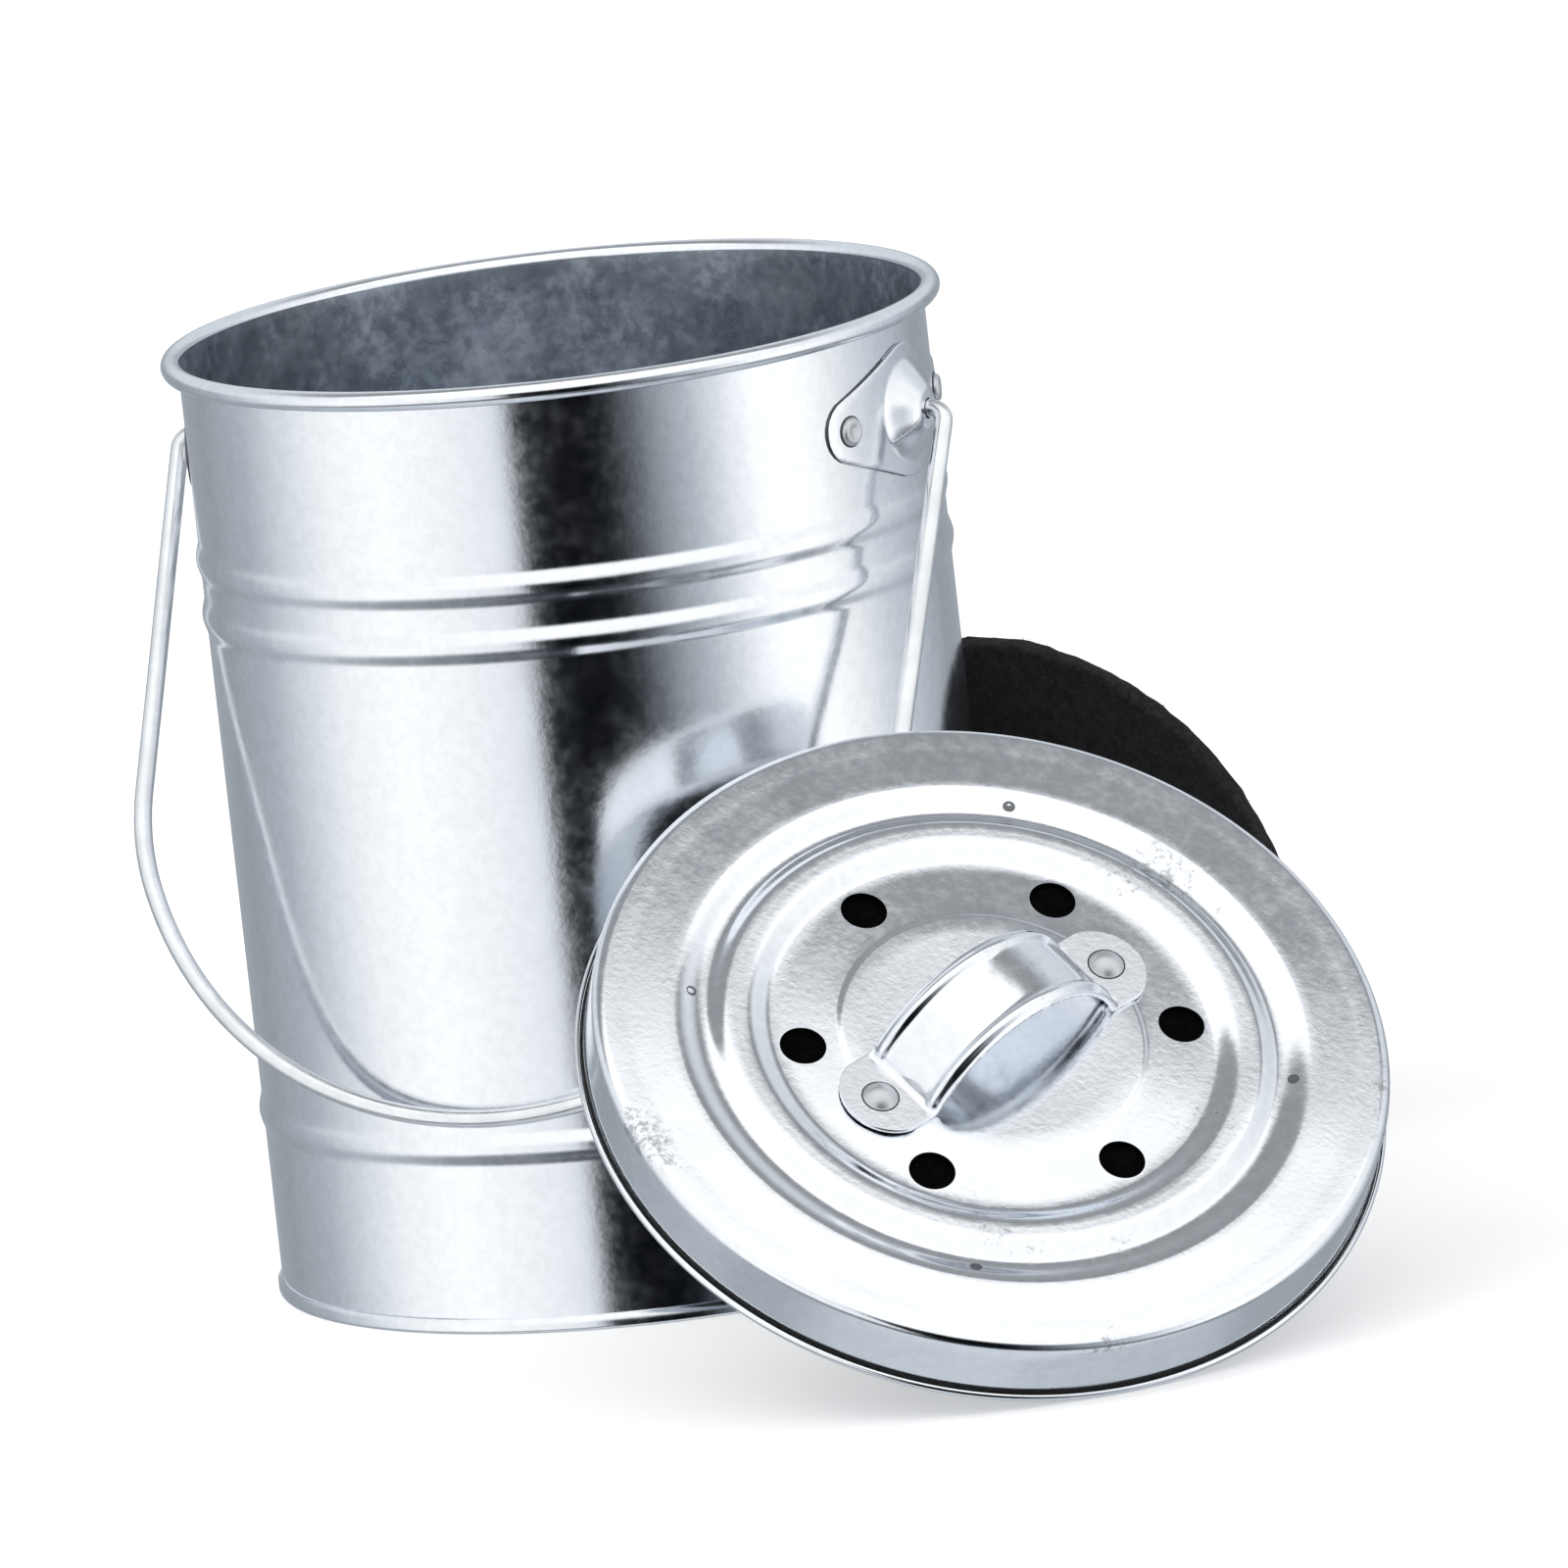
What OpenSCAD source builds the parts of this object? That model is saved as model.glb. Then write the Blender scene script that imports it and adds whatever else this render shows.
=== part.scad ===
// Compost caddy: a sheet-steel bucket with a wire bail, a lift-off vented lid and two felt filters.
// The bucket stands on z = 0 with its axis on Z. The bail turns about X and hangs towards -Y.
// The lid is off the bucket and leans on the bail, and the spare filter leans on the wall.

/* [Bucket] */
// Outside diameter over the rolled rim
rim_od = 180; // [150:1:220]
// Height from the ground to the top of the rim
height = 220; // [180:1:280]
// Thickness of the bucket's sheet
wall_t = 0.6; // [0.5:0.05:0.8]
// Outside diameter of the rim's curl
curl_d = 4.6; // [4.2:0.1:6]
// Gap between the curl and the wire inside it
core_gap = 0.05; // [0.02:0.01:0.2]
// Height of the pan's floor above the ground
pan_lift = 6; // [4.5:0.5:12]
// Distance the bottom seam stands out of the wall
seam_out = 1.1; // [0.9:0.05:2]
// Height of the bottom seam
seam_h = 3.6; // [3:0.1:6]
// Radius of the bends in the bottom seam
fold_r = 0.6; // [0.5:0.05:0.8]
// Radius of the pan's corner
pan_corner_r = 1.5; // [1:0.1:3]
// Height of the pressed ring in the pan
pan_ring_rise = 0.8; // [0.4:0.1:1.5]
// Gap between sheets that lie together
sheet_gap = 0.05; // [0.02:0.01:0.1]
// Width of the lap down the back of the wall
lap_w = 7; // [4:0.5:12]

/* [Beads] */
// Distance each bead stands out of the wall
bead_out = 0.9; // [0.4:0.1:1.5]
// Half the height of a bead
bead_half = 4.6; // [3:0.1:6]
// Depth of the top bead's middle below the rim
top_bead_drop = 47.5; // [44:0.5:60]
// Distance between the two upper beads
bead_pitch = 13; // [12.5:0.5:20]
// Height of the lower bead's middle above the ground
low_bead_z = 43; // [20:0.5:44]

/* [Ears] */
// Depth of the bail's pivot below the rim
pivot_drop = 25; // [24:0.5:30]
// Thickness of the ear plates
ear_t = 0.8; // [0.6:0.1:1.2]
// Height of an ear plate at its middle
ear_h = 31; // [26:0.5:36]
// Distance of an ear's rivets from its middle, along the wall
rivet_arc = 25.5; // [22:0.5:30]
// Radius of an ear plate's two ends
ear_end_r = 7.5; // [6:0.5:9]
// Radius of the cone boss where it meets the plate
boss_base_r = 12; // [10:0.5:13]
// Radius of the cone boss's flat top
boss_top_r = 4.2; // [3.8:0.1:5]
// Distance the boss stands out of the plate
boss_h = 5.2; // [4.5:0.1:6]
// Gap between the boss and the bail's bend
boss_gap = 0.5; // [0.3:0.1:1]
// Diameter of a rivet's head
ear_rivet_d = 6.6; // [5:0.1:9]
// Height of a rivet's domed head
ear_rivet_h = 1.5; // [1:0.1:2.5]
// Diameter of every rivet's shank
shank_d = 3.2; // [2.5:0.1:4]
// Thickness of the flattened tail of every rivet
tail_t = 0.7; // [0.5:0.1:0.8]
// Distance a rivet's tail spreads out of its shank
tail_out = 1.1; // [0.8:0.1:1.3]

/* [Bail] */
// Diameter of the bail's wire
wire_d = 4.2; // [3:0.1:5]
// Radial gap between the wire and its hole in the ear
pivot_gap = 0.08; // [0.03:0.01:0.1]
// Bend radius of the wire outside each ear
bend_r = 3.5; // [3:0.1:5]
// Straight length of each leg
leg_len = 84; // [60:1:110]
// Angle by which each leg leans inwards
leg_taper = 1.2; // [0.5:0.1:3]
// Bend radius at the foot of each leg
corner_r = 62; // [40:1:70]
// Angle turned through that bend
corner_turn = 23; // [15:1:35]
// Diameter of the upset head inside each ear
upset_d = 6.4; // [5.5:0.1:8]
// Thickness of the upset head
upset_t = 1.4; // [1:0.1:2]
// Gap left between pieces that rest against each other
rest_gap = 0.35; // [0.3:0.05:1]

/* [Lid] */
// Thickness of the lid's sheet
lid_t = 0.5; // [0.4:0.05:0.7]
// Gap all round between the lid's skirt and the rim
skirt_gap = 0.4; // [0.3:0.05:1]
// Depth of the skirt from the lid's floor to the middle of its hem bead
skirt_depth = 16.2; // [12:0.1:16.6]
// Radius of the hem bead's middle line
hem_r = 0.8; // [0.6:0.05:1.2]
// Radius of the shoulder between plate and skirt
shoulder_r = 2.5; // [1.5:0.1:3.5]
// Radius of the raised disc in the middle
disc_r = 34; // [28:0.5:36]
// Height of the raised disc
disc_rise = 0.5; // [0.2:0.1:1]
// Width of the slope round the raised disc
disc_slope = 2; // [1:0.2:3]
// Radius of the lid's flat floor
floor_r = 50.4; // [48:0.2:53]
// Height of the inner ring above the floor
ring_rise = 1.6; // [0.8:0.1:3]
// Width of the slope from the floor up to the inner ring
ring_slope = 6.4; // [5:0.2:7]
// Width of the inner ring's flat top
ring_flat = 4; // [3:0.2:5]
// Radius of the groove's middle, outside the inner ring
groove_r = 65.4; // [64:0.2:68]
// Depth of the groove below the floor
groove_drop = 0.6; // [0:0.1:1.5]
// Width of the groove's flat bottom
groove_flat = 0.6; // [0.4:0.1:1]
// Width of the slope from the groove up to the outer step
step_slope = 6.8; // [5:0.2:8]
// Height of the outer step above the floor
step_rise = 0.9; // [0.4:0.1:2]
// Height of the plate's outer edge above the floor
flange_rise = 0.5; // [0.2:0.1:0.9]
// Distance from the shoulder to where the plate starts to level out
flange_run = 4; // [2:0.5:5]
// Number of vent holes
vents = 6; // [4:1:8]
// Diameter of a vent hole
vent_d = 10.6; // [6:0.2:11]
// Radius of the circle that the vent holes lie on
vent_circle_r = 44; // [42:0.2:44.4]

/* [Lid handle] */
// Distance between the handle's two rivets
handle_pitch = 69; // [64:1:72]
// Width of the handle strap
strap_w = 22; // [16:1:23]
// Thickness of the handle strap
strap_t = 1; // [0.8:0.1:1.4]
// Inside height of the handle's arch
arch_h = 18; // [16:0.5:26]
// Distance from a rivet to the foot of the arch
foot_in = 7.7; // [6.5:0.1:9]
// Radius of a foot's rounded end
foot_end_r = 11.5; // [9:0.5:12]
// Distance from a rivet in to the middle of its foot's rounded end
foot_end_in = 3; // [2:0.5:4]
// Radius of the ribs along the strap's edges
rib_r = 1.3; // [0.9:0.1:1.6]
// Distance from the strap's edge to a rib's middle
rib_in = 2.4; // [2:0.1:4]
// Diameter of a handle rivet's head
lid_rivet_d = 8; // [6:0.1:9]
// Height of a handle rivet's head
lid_rivet_h = 1.8; // [1:0.1:2.5]

/* [Filter] */
// Diameter of the filter pad
filter_d = 131; // [120:1:131]
// Thickness of the filter pad
filter_t = 6; // [4:0.5:8]
// Size of the bevel along the filter pad's edges
filter_edge = 1.2; // [0.8:0.1:1.6]
// Number of clips that hold the filter under the lid
clips = 4; // [3:1:6]
// Width of a clip
clip_w = 8; // [5:0.5:12]
// Gap between the filter's edge and a clip
clip_gap = 0.4; // [0.2:0.1:1]
// Width of a clip's tab that is welded to the lid
clip_tab = 2.2; // [1.6:0.1:3]
// Distance the tab reaches in past the clip's upright part
clip_tab_in = 0.5; // [0.2:0.1:0.8]
// Thickness of a clip
clip_t = 0.6; // [0.4:0.1:0.8]
// Length of a clip's lip below the filter
clip_lip = 8; // [5:0.5:12]

/* [Pieces off the bucket] */
// Slope of the leaning lid
lid_slope = 41; // [35:1:50]
// Direction the lid faces, from -Y towards +X
lid_facing = 44; // [38:1:50]
// Direction of the lid's middle from the bucket, from -Y towards +X
lid_bearing = 50.7; // [48:0.1:54]
// Turn of the lid about its own axis
lid_spin = 21.3; // [0:0.1:60]
// Slope of the leaning filter
filter_slope = 74; // [70:1:76]
// Direction the filter faces, from -Y towards +X
filter_facing = 168; // [160:1:172]
// Direction of the filter from the bucket, from -Y towards +X
filter_bearing = 141; // [138:0.5:144]

/* [Hidden] */
$fn = 96;

steel = "silver";
wire_steel = "lightgray";
felt = "#202224";

// Distance a cutter runs past what it cuts, and the hair's gap under a rivet's head and at its tail
cut = 1;
rivet_gap = 0.03;

// Bucket wall
body_ro = rim_od / 2 - curl_d + wall_t;
body_ri = body_ro - wall_t;
body_rm = body_ro - wall_t / 2;
curl_rm = (curl_d - wall_t) / 2;
curl_c = [body_rm + curl_rm, height - curl_d / 2];
core_r = curl_rm - wall_t / 2 - core_gap;
beads = [low_bead_z, height - top_bead_drop - bead_pitch, height - top_bead_drop];
bead_steps = 8;

// Bottom pan: its wall inside the bucket, and the fold that grips the bucket's lower edge
pan_rm = body_ri - sheet_gap - wall_t / 2;
fold_rm = body_ro + seam_out - wall_t / 2;
fold_gap = 0.5;
foot_z = wall_t + fold_gap;
pan_ring = body_ro * [0.68, 0.71, 0.73, 0.76];

// Ears and bail
pivot_z = height - pivot_drop;
ear_ri = body_ro + sheet_gap;
ear_ro = ear_ri + ear_t;
boss_x = ear_ro + boss_h;
boss_wall = ear_t;
rivet_turn = rivet_arc / ear_ro * 180 / PI;
shank_gap = 0.05;
shank_hole_d = shank_d + 2 * shank_gap;
tail_d = shank_d + 2 * tail_out;
tail_sag = body_ri - sqrt(body_ri * body_ri - tail_d * tail_d / 4);
upset_gap = 1.6;
wire_r = wire_d / 2;
bend_x = boss_x + boss_gap;
leg_top = [bend_x + bend_r * cos(leg_taper), -bend_r - bend_r * sin(leg_taper)];
leg_foot = leg_top - leg_len * [sin(leg_taper), cos(leg_taper)];
corner_c = leg_foot + corner_r * [-cos(leg_taper), sin(leg_taper)];
corner_end = leg_taper + corner_turn;
bottom_r = corner_r + corner_c.x / cos(corner_end);
bottom_cz = corner_c.y + corner_c.x * tan(corner_end);
bail_drop = bottom_r - bottom_cz;
bail_lean = asin((body_ro + wire_r + rest_gap) / bail_drop);

// Lid, in its own frame: the middle of its floor's sheet is at the origin
skirt_rm = rim_od / 2 + skirt_gap + lid_t / 2;
hem_rm = skirt_rm + hem_r;
hem_ro = hem_rm + hem_r + lid_t / 2;
shoulder_z = flange_rise - shoulder_r;
ring_r = floor_r + ring_slope;
step_r = groove_r + groove_flat;
lid_top = step_rise + lid_t / 2;
lid_bottom = -skirt_depth - hem_r - lid_t / 2;

// Lid handle
rib_sink = 0.3;
foot_x = handle_pitch / 2 - foot_in;
foot_z0 = disc_rise + lid_t / 2 + sheet_gap;
arch_rm = (foot_x * foot_x + arch_h * arch_h) / (2 * arch_h);
arch_cz = foot_z0 + strap_t / 2 + arch_h - arch_rm;
arch_from = asin((foot_z0 + strap_t / 2 - arch_cz) / arch_rm);

// Lid's middle line, from its middle out over the rings and down to the hem
lid_path = concat(
    [[0, disc_rise]],
    ramp([disc_r, disc_rise], [disc_r + disc_slope, 0], 5),
    ramp([floor_r, 0], [ring_r, ring_rise], 8),
    ramp([ring_r + ring_flat, ring_rise], [groove_r, -groove_drop], 8),
    ramp([step_r, -groove_drop], [step_r + step_slope, step_rise], 8),
    [[skirt_rm - shoulder_r - flange_run, flange_rise]],
    arc([skirt_rm - shoulder_r, shoulder_z], shoulder_r, 90, 0, 8),
    arc([hem_rm, -skirt_depth], hem_r, 180, 430, 20)
);

// Filter clips. A clip's tab lies just outside the filter, against the lowest part of the lid above it.
filter_r = filter_d / 2;
clip_r = filter_r + clip_gap;
clip_tab_r = clip_r - clip_tab_in;
clip_seat_z = min([for (s = [0:0.1:1]) lookup(clip_tab_r + s * clip_tab, lid_path)])
    - lid_t / 2 - sheet_gap - clip_t / 2;
clip_lip_z = -groove_drop - lid_t / 2 - sheet_gap - filter_t - rest_gap - clip_t / 2;

// Points along the right half of the hanging bail
bail_points = [
    for (s = [0:0.1:1]) bail_at(leg_top + s * (leg_foot - leg_top)),
    for (s = [0:0.1:1])
        let (a = leg_taper + s * corner_turn) bail_at(corner_c + corner_r * [cos(a), -sin(a)])
];

// Leaning pieces. Each is moved out from the bucket until it clears what it leans on.
solve_steps = 26;
lid_face = sin(lid_slope) * bearing(lid_facing) + [0, 0, cos(lid_slope)];
lid_z = (hem_r + lid_t / 2) + skirt_depth * cos(lid_slope) + hem_rm * sin(lid_slope);
lid_reach = solve_lid(0.8 * rim_od, 1.6 * rim_od, solve_steps);
filter_z = filter_r * sin(filter_slope) - filter_edge * cos(filter_slope);
filter_up = -cos(filter_slope) * bearing(filter_facing) + [0, 0, sin(filter_slope)];
filter_side = [cos(filter_facing), sin(filter_facing), 0];
filter_face = cross(filter_side, filter_up);
filter_reach = solve_filter(body_ro, 3 * body_ro, solve_steps);

function bearing(angle) = [sin(angle), -cos(angle), 0];
function unit(v) = v / norm(v);
function turn_of(length, r) = length / r * 180 / PI;
function arc(c, r, from, to, n) = [
    for (k = [0:n]) let (a = from + (to - from) * k / n) c + r * [cos(a), sin(a)]
];

// Outline of a sheet of thickness t whose middle line is the path
function across(path, i) = let (d = unit(path[min(i + 1, len(path) - 1)] - path[max(i - 1, 0)])) [-d.y, d.x];
function sheet_outline(path, t) = concat(
    [for (i = [0:len(path) - 1]) path[i] + across(path, i) * t / 2],
    [for (i = [len(path) - 1:-1:0]) path[i] - across(path, i) * t / 2]
);

// A smooth rise or fall between two points, for pressed steps
function ramp(a, b, n) = [
    for (k = [0:n]) [a.x + (b.x - a.x) * k / n, a.y + (b.y - a.y) * (1 - cos(180 * k / n)) / 2]
];

// Middle line of the wall from its lower edge to the start of the curl, moved out by shift
function wall_path(shift) = concat(
    [[body_rm + shift, foot_z]],
    [for (b = beads) each [for (k = [-bead_steps:bead_steps])
        [body_rm + shift + bead_out * (1 + cos(180 * k / bead_steps)) / 2, b + bead_half * k / bead_steps]]],
    [[body_rm + shift, height - curl_d]]
);

// A point of the bail's own plane, where it hangs
function bail_at(p) = [p.x, p.y * sin(bail_lean), pivot_z + p.y * cos(bail_lean)];

// Distance from a point to the round block that encloses the lid
function lid_distance(p, reach) =
    let (q = p - bearing(lid_bearing) * reach - [0, 0, lid_z])
    let (a = q * lid_face, r = norm(q - a * lid_face))
    let (dr = r - hem_ro, da = max(a - lid_top, lid_bottom - a))
    min(max(dr, da), 0) + norm([max(dr, 0), max(da, 0)]);
function lid_clearance(reach) = min([for (p = bail_points) lid_distance(p, reach)]) - wire_r;
function solve_lid(lo, hi, n) = n == 0 ? hi :
    let (mid = (lo + hi) / 2, clear = lid_clearance(mid) > rest_gap)
    clear ? solve_lid(lo, mid, n - 1) : solve_lid(mid, hi, n - 1);

// Distance from the wall to the nearest point of the leaning filter's inner edge
function wall_at(z) = body_ro + (len([for (b = beads) if (abs(z - b) < bead_half) b]) > 0 ? bead_out : 0);
function filter_clearance(reach) = min([
    for (k = [0:5:355], e = [[filter_r - filter_edge, 0], [filter_r, filter_edge]])
        let (p = bearing(filter_bearing) * reach + [0, 0, filter_z]
            + e.x * (cos(k) * filter_side + sin(k) * filter_up) + e.y * filter_face)
        norm([p.x, p.y]) - wall_at(p.z)
]);
function solve_filter(lo, hi, n) = n == 0 ? hi :
    let (mid = (lo + hi) / 2, clear = filter_clearance(mid) > rest_gap)
    clear ? solve_filter(lo, mid, n - 1) : solve_filter(mid, hi, n - 1);

module ring(points) { rotate_extrude() polygon(points); }

// Domed rivet along Z: the outer head sits on z = 0 and the grip is the sheet below it
module rivet(head_d, head_h, grip) {
    dome = (head_d * head_d / 4 + head_h * head_h) / (2 * head_h);
    intersection() {
        translate([0, 0, head_h - dome]) sphere(dome);
        cylinder(h = head_h + cut, d = head_d + 2 * cut);
    }
    translate([0, 0, -grip - tail_t / 2]) cylinder(h = grip + tail_t, d = shank_d);
    translate([0, 0, -grip - tail_t]) cylinder(h = tail_t, d = tail_d);
}

// Puts a child that points along Z onto an ear's rivet, side is 1 or -1
module on_ear_rivet(side, end, r) {
    mirror([side < 0 ? 1 : 0, 0, 0]) rotate([0, 0, end * rivet_turn])
        translate([r, 0, pivot_z]) rotate([0, 90, 0]) children();
}

module body_shell() {
    color(steel) difference() {
        union() {
            ring(sheet_outline(concat(wall_path(0), arc(curl_c, curl_rm, 180, -130, 31)), wall_t));
            rotate([0, 0, 90 - lap_w / body_ro * 90 / PI])
                rotate_extrude(angle = lap_w / body_ro * 180 / PI)
                    polygon(sheet_outline([for (p = wall_path(wall_t * 0.8)) if (p.y > seam_h) p], wall_t));
        }
        for (side = [1, -1], end = [1, -1])
            on_ear_rivet(side, end, body_ri - 2 * cut) cylinder(h = wall_t + 6 * cut, d = shank_hole_d);
    }
}

module rim_wire() {
    color(wire_steel) rotate_extrude() translate(curl_c) circle(core_r);
}

module base_pan() {
    path = concat(
        [[0, pan_lift]],
        ramp([pan_ring[0], pan_lift], [pan_ring[1], pan_lift + pan_ring_rise], 5),
        ramp([pan_ring[2], pan_lift + pan_ring_rise], [pan_ring[3], pan_lift], 5),
        arc([pan_rm - pan_corner_r, pan_lift - pan_corner_r], pan_corner_r, 90, 0, 6),
        arc([pan_rm + fold_r, wall_t / 2 + fold_r], fold_r, 180, 270, 5),
        arc([fold_rm - fold_r, wall_t / 2 + fold_r], fold_r, 270, 360, 5),
        [[fold_rm, seam_h - 2 * fold_r], [body_ro + sheet_gap + wall_t / 2, seam_h - wall_t / 2]]
    );
    color(steel) ring(sheet_outline(path, wall_t));
}

module ear() {
    module outline() {
        hull() {
            circle(d = ear_h);
            for (end = [1, -1]) translate([end * rivet_arc, 0]) circle(ear_end_r);
        }
    }
    module cone(grow, from, to) {
        slope = (boss_base_r - boss_top_r) / boss_h;
        top_r = boss_top_r + grow;
        translate([from, 0, pivot_z]) rotate([0, 90, 0])
            cylinder(h = to - from, r1 = top_r + slope * (boss_x - from), r2 = top_r + slope * (boss_x - to));
    }
    difference() {
        union() {
            intersection() {
                difference() {
                    cylinder(h = height, r = ear_ro);
                    translate([0, 0, -cut]) cylinder(h = height + 2 * cut, r = ear_ri);
                }
                translate([body_ro / 2, 0, pivot_z]) rotate([90, 0, 90]) linear_extrude(body_ro) outline();
            }
            cone(0, ear_ri - cut, boss_x);
        }
        cone(-boss_wall, ear_ri - 3 * cut, boss_x - boss_wall);
        translate([0, 0, pivot_z - boss_base_r * 2]) cylinder(h = boss_base_r * 4, r = ear_ri);
        translate([boss_x - 3 * cut, 0, pivot_z]) rotate([0, 90, 0])
            cylinder(h = 6 * cut, r = wire_r + pivot_gap);
        for (end = [1, -1])
            on_ear_rivet(1, end, ear_ri - 2 * cut) cylinder(h = ear_t + 6 * cut, d = shank_hole_d);
    }
}

module ear_right() { color(steel) ear(); }
module ear_left() { color(steel) mirror([1, 0, 0]) ear(); }

module ear_rivet(side, end) {
    color(wire_steel) on_ear_rivet(side, end, ear_ro + rivet_gap)
        rivet(ear_rivet_d, ear_rivet_h, ear_ro - body_ri + tail_sag + 2 * rivet_gap);
}

// The bail, hanging straight down from a pivot at the origin. The bends are a hair thinner than the
// straight lengths and run a little way into them, so that every join is clean.
module straight_bail() {
    head_x = ear_ri + upset_gap;
    thin = 0.02;
    lap = 0.3;
    leg_lap = turn_of(lap / 2, bend_r);
    corner_lap = turn_of(lap, corner_r);
    module bend(c, r, from, to, wire) {
        translate([c.x, 0, c.y]) rotate([90, 0, 0]) rotate([0, 0, -to])
            rotate_extrude(angle = to - from) translate([r, 0]) circle(wire);
    }
    for (side = [0, 1]) mirror([side, 0, 0]) {
        translate([head_x, 0, 0]) rotate([0, 90, 0]) cylinder(h = bend_x - head_x, r = wire_r);
        translate([head_x, 0, 0]) rotate([0, 90, 0]) cylinder(h = upset_t, d = upset_d);
        bend([bend_x, -bend_r], bend_r, -90 - leg_lap, leg_taper + leg_lap, wire_r - thin);
        translate([leg_top.x, 0, leg_top.y]) rotate([0, 180 + leg_taper, 0])
            cylinder(h = leg_len, r = wire_r);
        bend(corner_c, corner_r, leg_taper - corner_lap, corner_end + corner_lap, wire_r - thin);
    }
    bend([0, bottom_cz], bottom_r, corner_end, 180 - corner_end, wire_r);
}

module bail_wire() {
    color(wire_steel) translate([0, 0, pivot_z]) rotate([-bail_lean, 0, 0]) straight_bail();
}

module place_lid() {
    translate(bearing(lid_bearing) * lid_reach + [0, 0, lid_z])
        rotate([0, 0, lid_facing]) rotate([lid_slope, 0, 0]) rotate([0, 0, lid_spin]) children();
}

// A round cutter through the lid's plate, at a distance along X
module drill(x, d) {
    translate([x, 0, -3 * cut]) cylinder(h = 12 * cut, d = d);
}

module lid_pan() {
    color(steel) place_lid() difference() {
        ring(sheet_outline(lid_path, lid_t));
        for (k = [0:vents - 1])
            rotate([0, 0, (k + 0.5) * 360 / vents]) drill(vent_circle_r, vent_d);
        for (side = [1, -1]) drill(side * handle_pitch / 2, shank_hole_d);
    }
}

module lid_handle() {
    module strap_section() {
        translate([arch_rm, 0]) {
            square([strap_t, strap_w], center = true);
            for (side = [1, -1])
                translate([strap_t / 2 - rib_sink, side * (strap_w / 2 - rib_in)]) circle(rib_r);
        }
    }
    module foot() {
        translate([0, 0, foot_z0]) linear_extrude(strap_t) intersection() {
            union() {
                translate([foot_x - cut, -strap_w / 2]) square([foot_in - 2 * cut, strap_w]);
                translate([handle_pitch / 2 - foot_end_in, 0]) circle(foot_end_r);
            }
            translate([foot_x - cut, -strap_w]) square([handle_pitch, 2 * strap_w]);
        }
    }
    color(steel) place_lid() difference() {
        union() {
            translate([0, 0, arch_cz]) rotate([90, 0, 0]) rotate([0, 0, arch_from])
                rotate_extrude(angle = 180 - 2 * arch_from) strap_section();
            foot();
            mirror([1, 0, 0]) foot();
        }
        for (side = [1, -1]) drill(side * handle_pitch / 2, shank_hole_d);
    }
}

module lid_rivet(side) {
    color(wire_steel) place_lid() translate([side * handle_pitch / 2, 0, foot_z0 + strap_t + rivet_gap])
        rivet(lid_rivet_d, lid_rivet_h, foot_z0 + strap_t + lid_t / 2 + 2 * rivet_gap);
}

module filter_clip(k) {
    color(steel) place_lid() rotate([0, 0, (k + 0.5) * 360 / clips])
        rotate([90, 0, 0]) linear_extrude(clip_w, center = true) {
            translate([clip_r, clip_lip_z]) square([clip_t, clip_seat_z - clip_lip_z + clip_t / 2]);
            translate([clip_r + clip_t - clip_lip, clip_lip_z - clip_t / 2]) square([clip_lip, clip_t]);
            translate([clip_tab_r, clip_seat_z - clip_t / 2]) square([clip_tab, clip_t]);
        }
}

module pad() {
    ring([[0, 0], [filter_r - filter_edge, 0], [filter_r, filter_edge], [filter_r, filter_t - filter_edge],
        [filter_r - filter_edge, filter_t], [0, filter_t]]);
}

module fitted_filter() {
    color(felt) place_lid() translate([0, 0, clip_lip_z + clip_t / 2 + sheet_gap]) pad();
}

module filter_pad() {
    color(felt)
        translate(bearing(filter_bearing) * filter_reach + [0, 0, filter_z])
            rotate([0, 0, filter_facing]) rotate([filter_slope, 0, 0]) pad();
}

body_shell();
rim_wire();
base_pan();
ear_right();
ear_left();
ear_rivet(1, -1);  // ear_rivet_right_front
ear_rivet(1, 1);  // ear_rivet_right_back
ear_rivet(-1, -1);  // ear_rivet_left_front
ear_rivet(-1, 1);  // ear_rivet_left_back
bail_wire();
lid_pan();
lid_handle();
lid_rivet(1);  // lid_rivet_1
lid_rivet(-1);  // lid_rivet_2
filter_clip(0);  // filter_clip_1
filter_clip(1);  // filter_clip_2
filter_clip(2);  // filter_clip_3
filter_clip(3);  // filter_clip_4
fitted_filter();
filter_pad();
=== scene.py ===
"""Compost caddy: a sheet-steel bucket with a wire bail, a lift-off vented lid and felt filters."""

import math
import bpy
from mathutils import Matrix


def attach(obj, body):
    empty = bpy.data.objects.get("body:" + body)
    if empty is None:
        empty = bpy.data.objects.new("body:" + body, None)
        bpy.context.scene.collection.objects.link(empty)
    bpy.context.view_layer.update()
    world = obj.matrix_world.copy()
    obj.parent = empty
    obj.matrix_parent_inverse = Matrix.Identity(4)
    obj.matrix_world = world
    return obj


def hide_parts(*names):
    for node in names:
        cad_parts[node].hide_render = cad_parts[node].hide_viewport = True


bl_info = {
    "name": "Compost caddy",
    "version": (1, 0, 0),
    "blender": (4, 5, 0),
    "location": "View3D > Sidebar > Caddy",
    "description": "Dresses a sheet-steel compost caddy with its lid, bail and filters",
    "category": "Add Mesh",
}

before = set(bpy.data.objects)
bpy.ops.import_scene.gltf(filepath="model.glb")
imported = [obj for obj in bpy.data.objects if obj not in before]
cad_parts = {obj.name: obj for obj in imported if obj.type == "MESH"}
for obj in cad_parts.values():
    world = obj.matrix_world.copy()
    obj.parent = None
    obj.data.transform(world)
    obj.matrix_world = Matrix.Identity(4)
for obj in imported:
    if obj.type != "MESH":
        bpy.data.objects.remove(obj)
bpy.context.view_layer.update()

import bmesh
import bpy
from bpy.props import FloatProperty, FloatVectorProperty, IntProperty, PointerProperty
from mathutils import Matrix, Vector, noise

MM = 0.001
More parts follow.
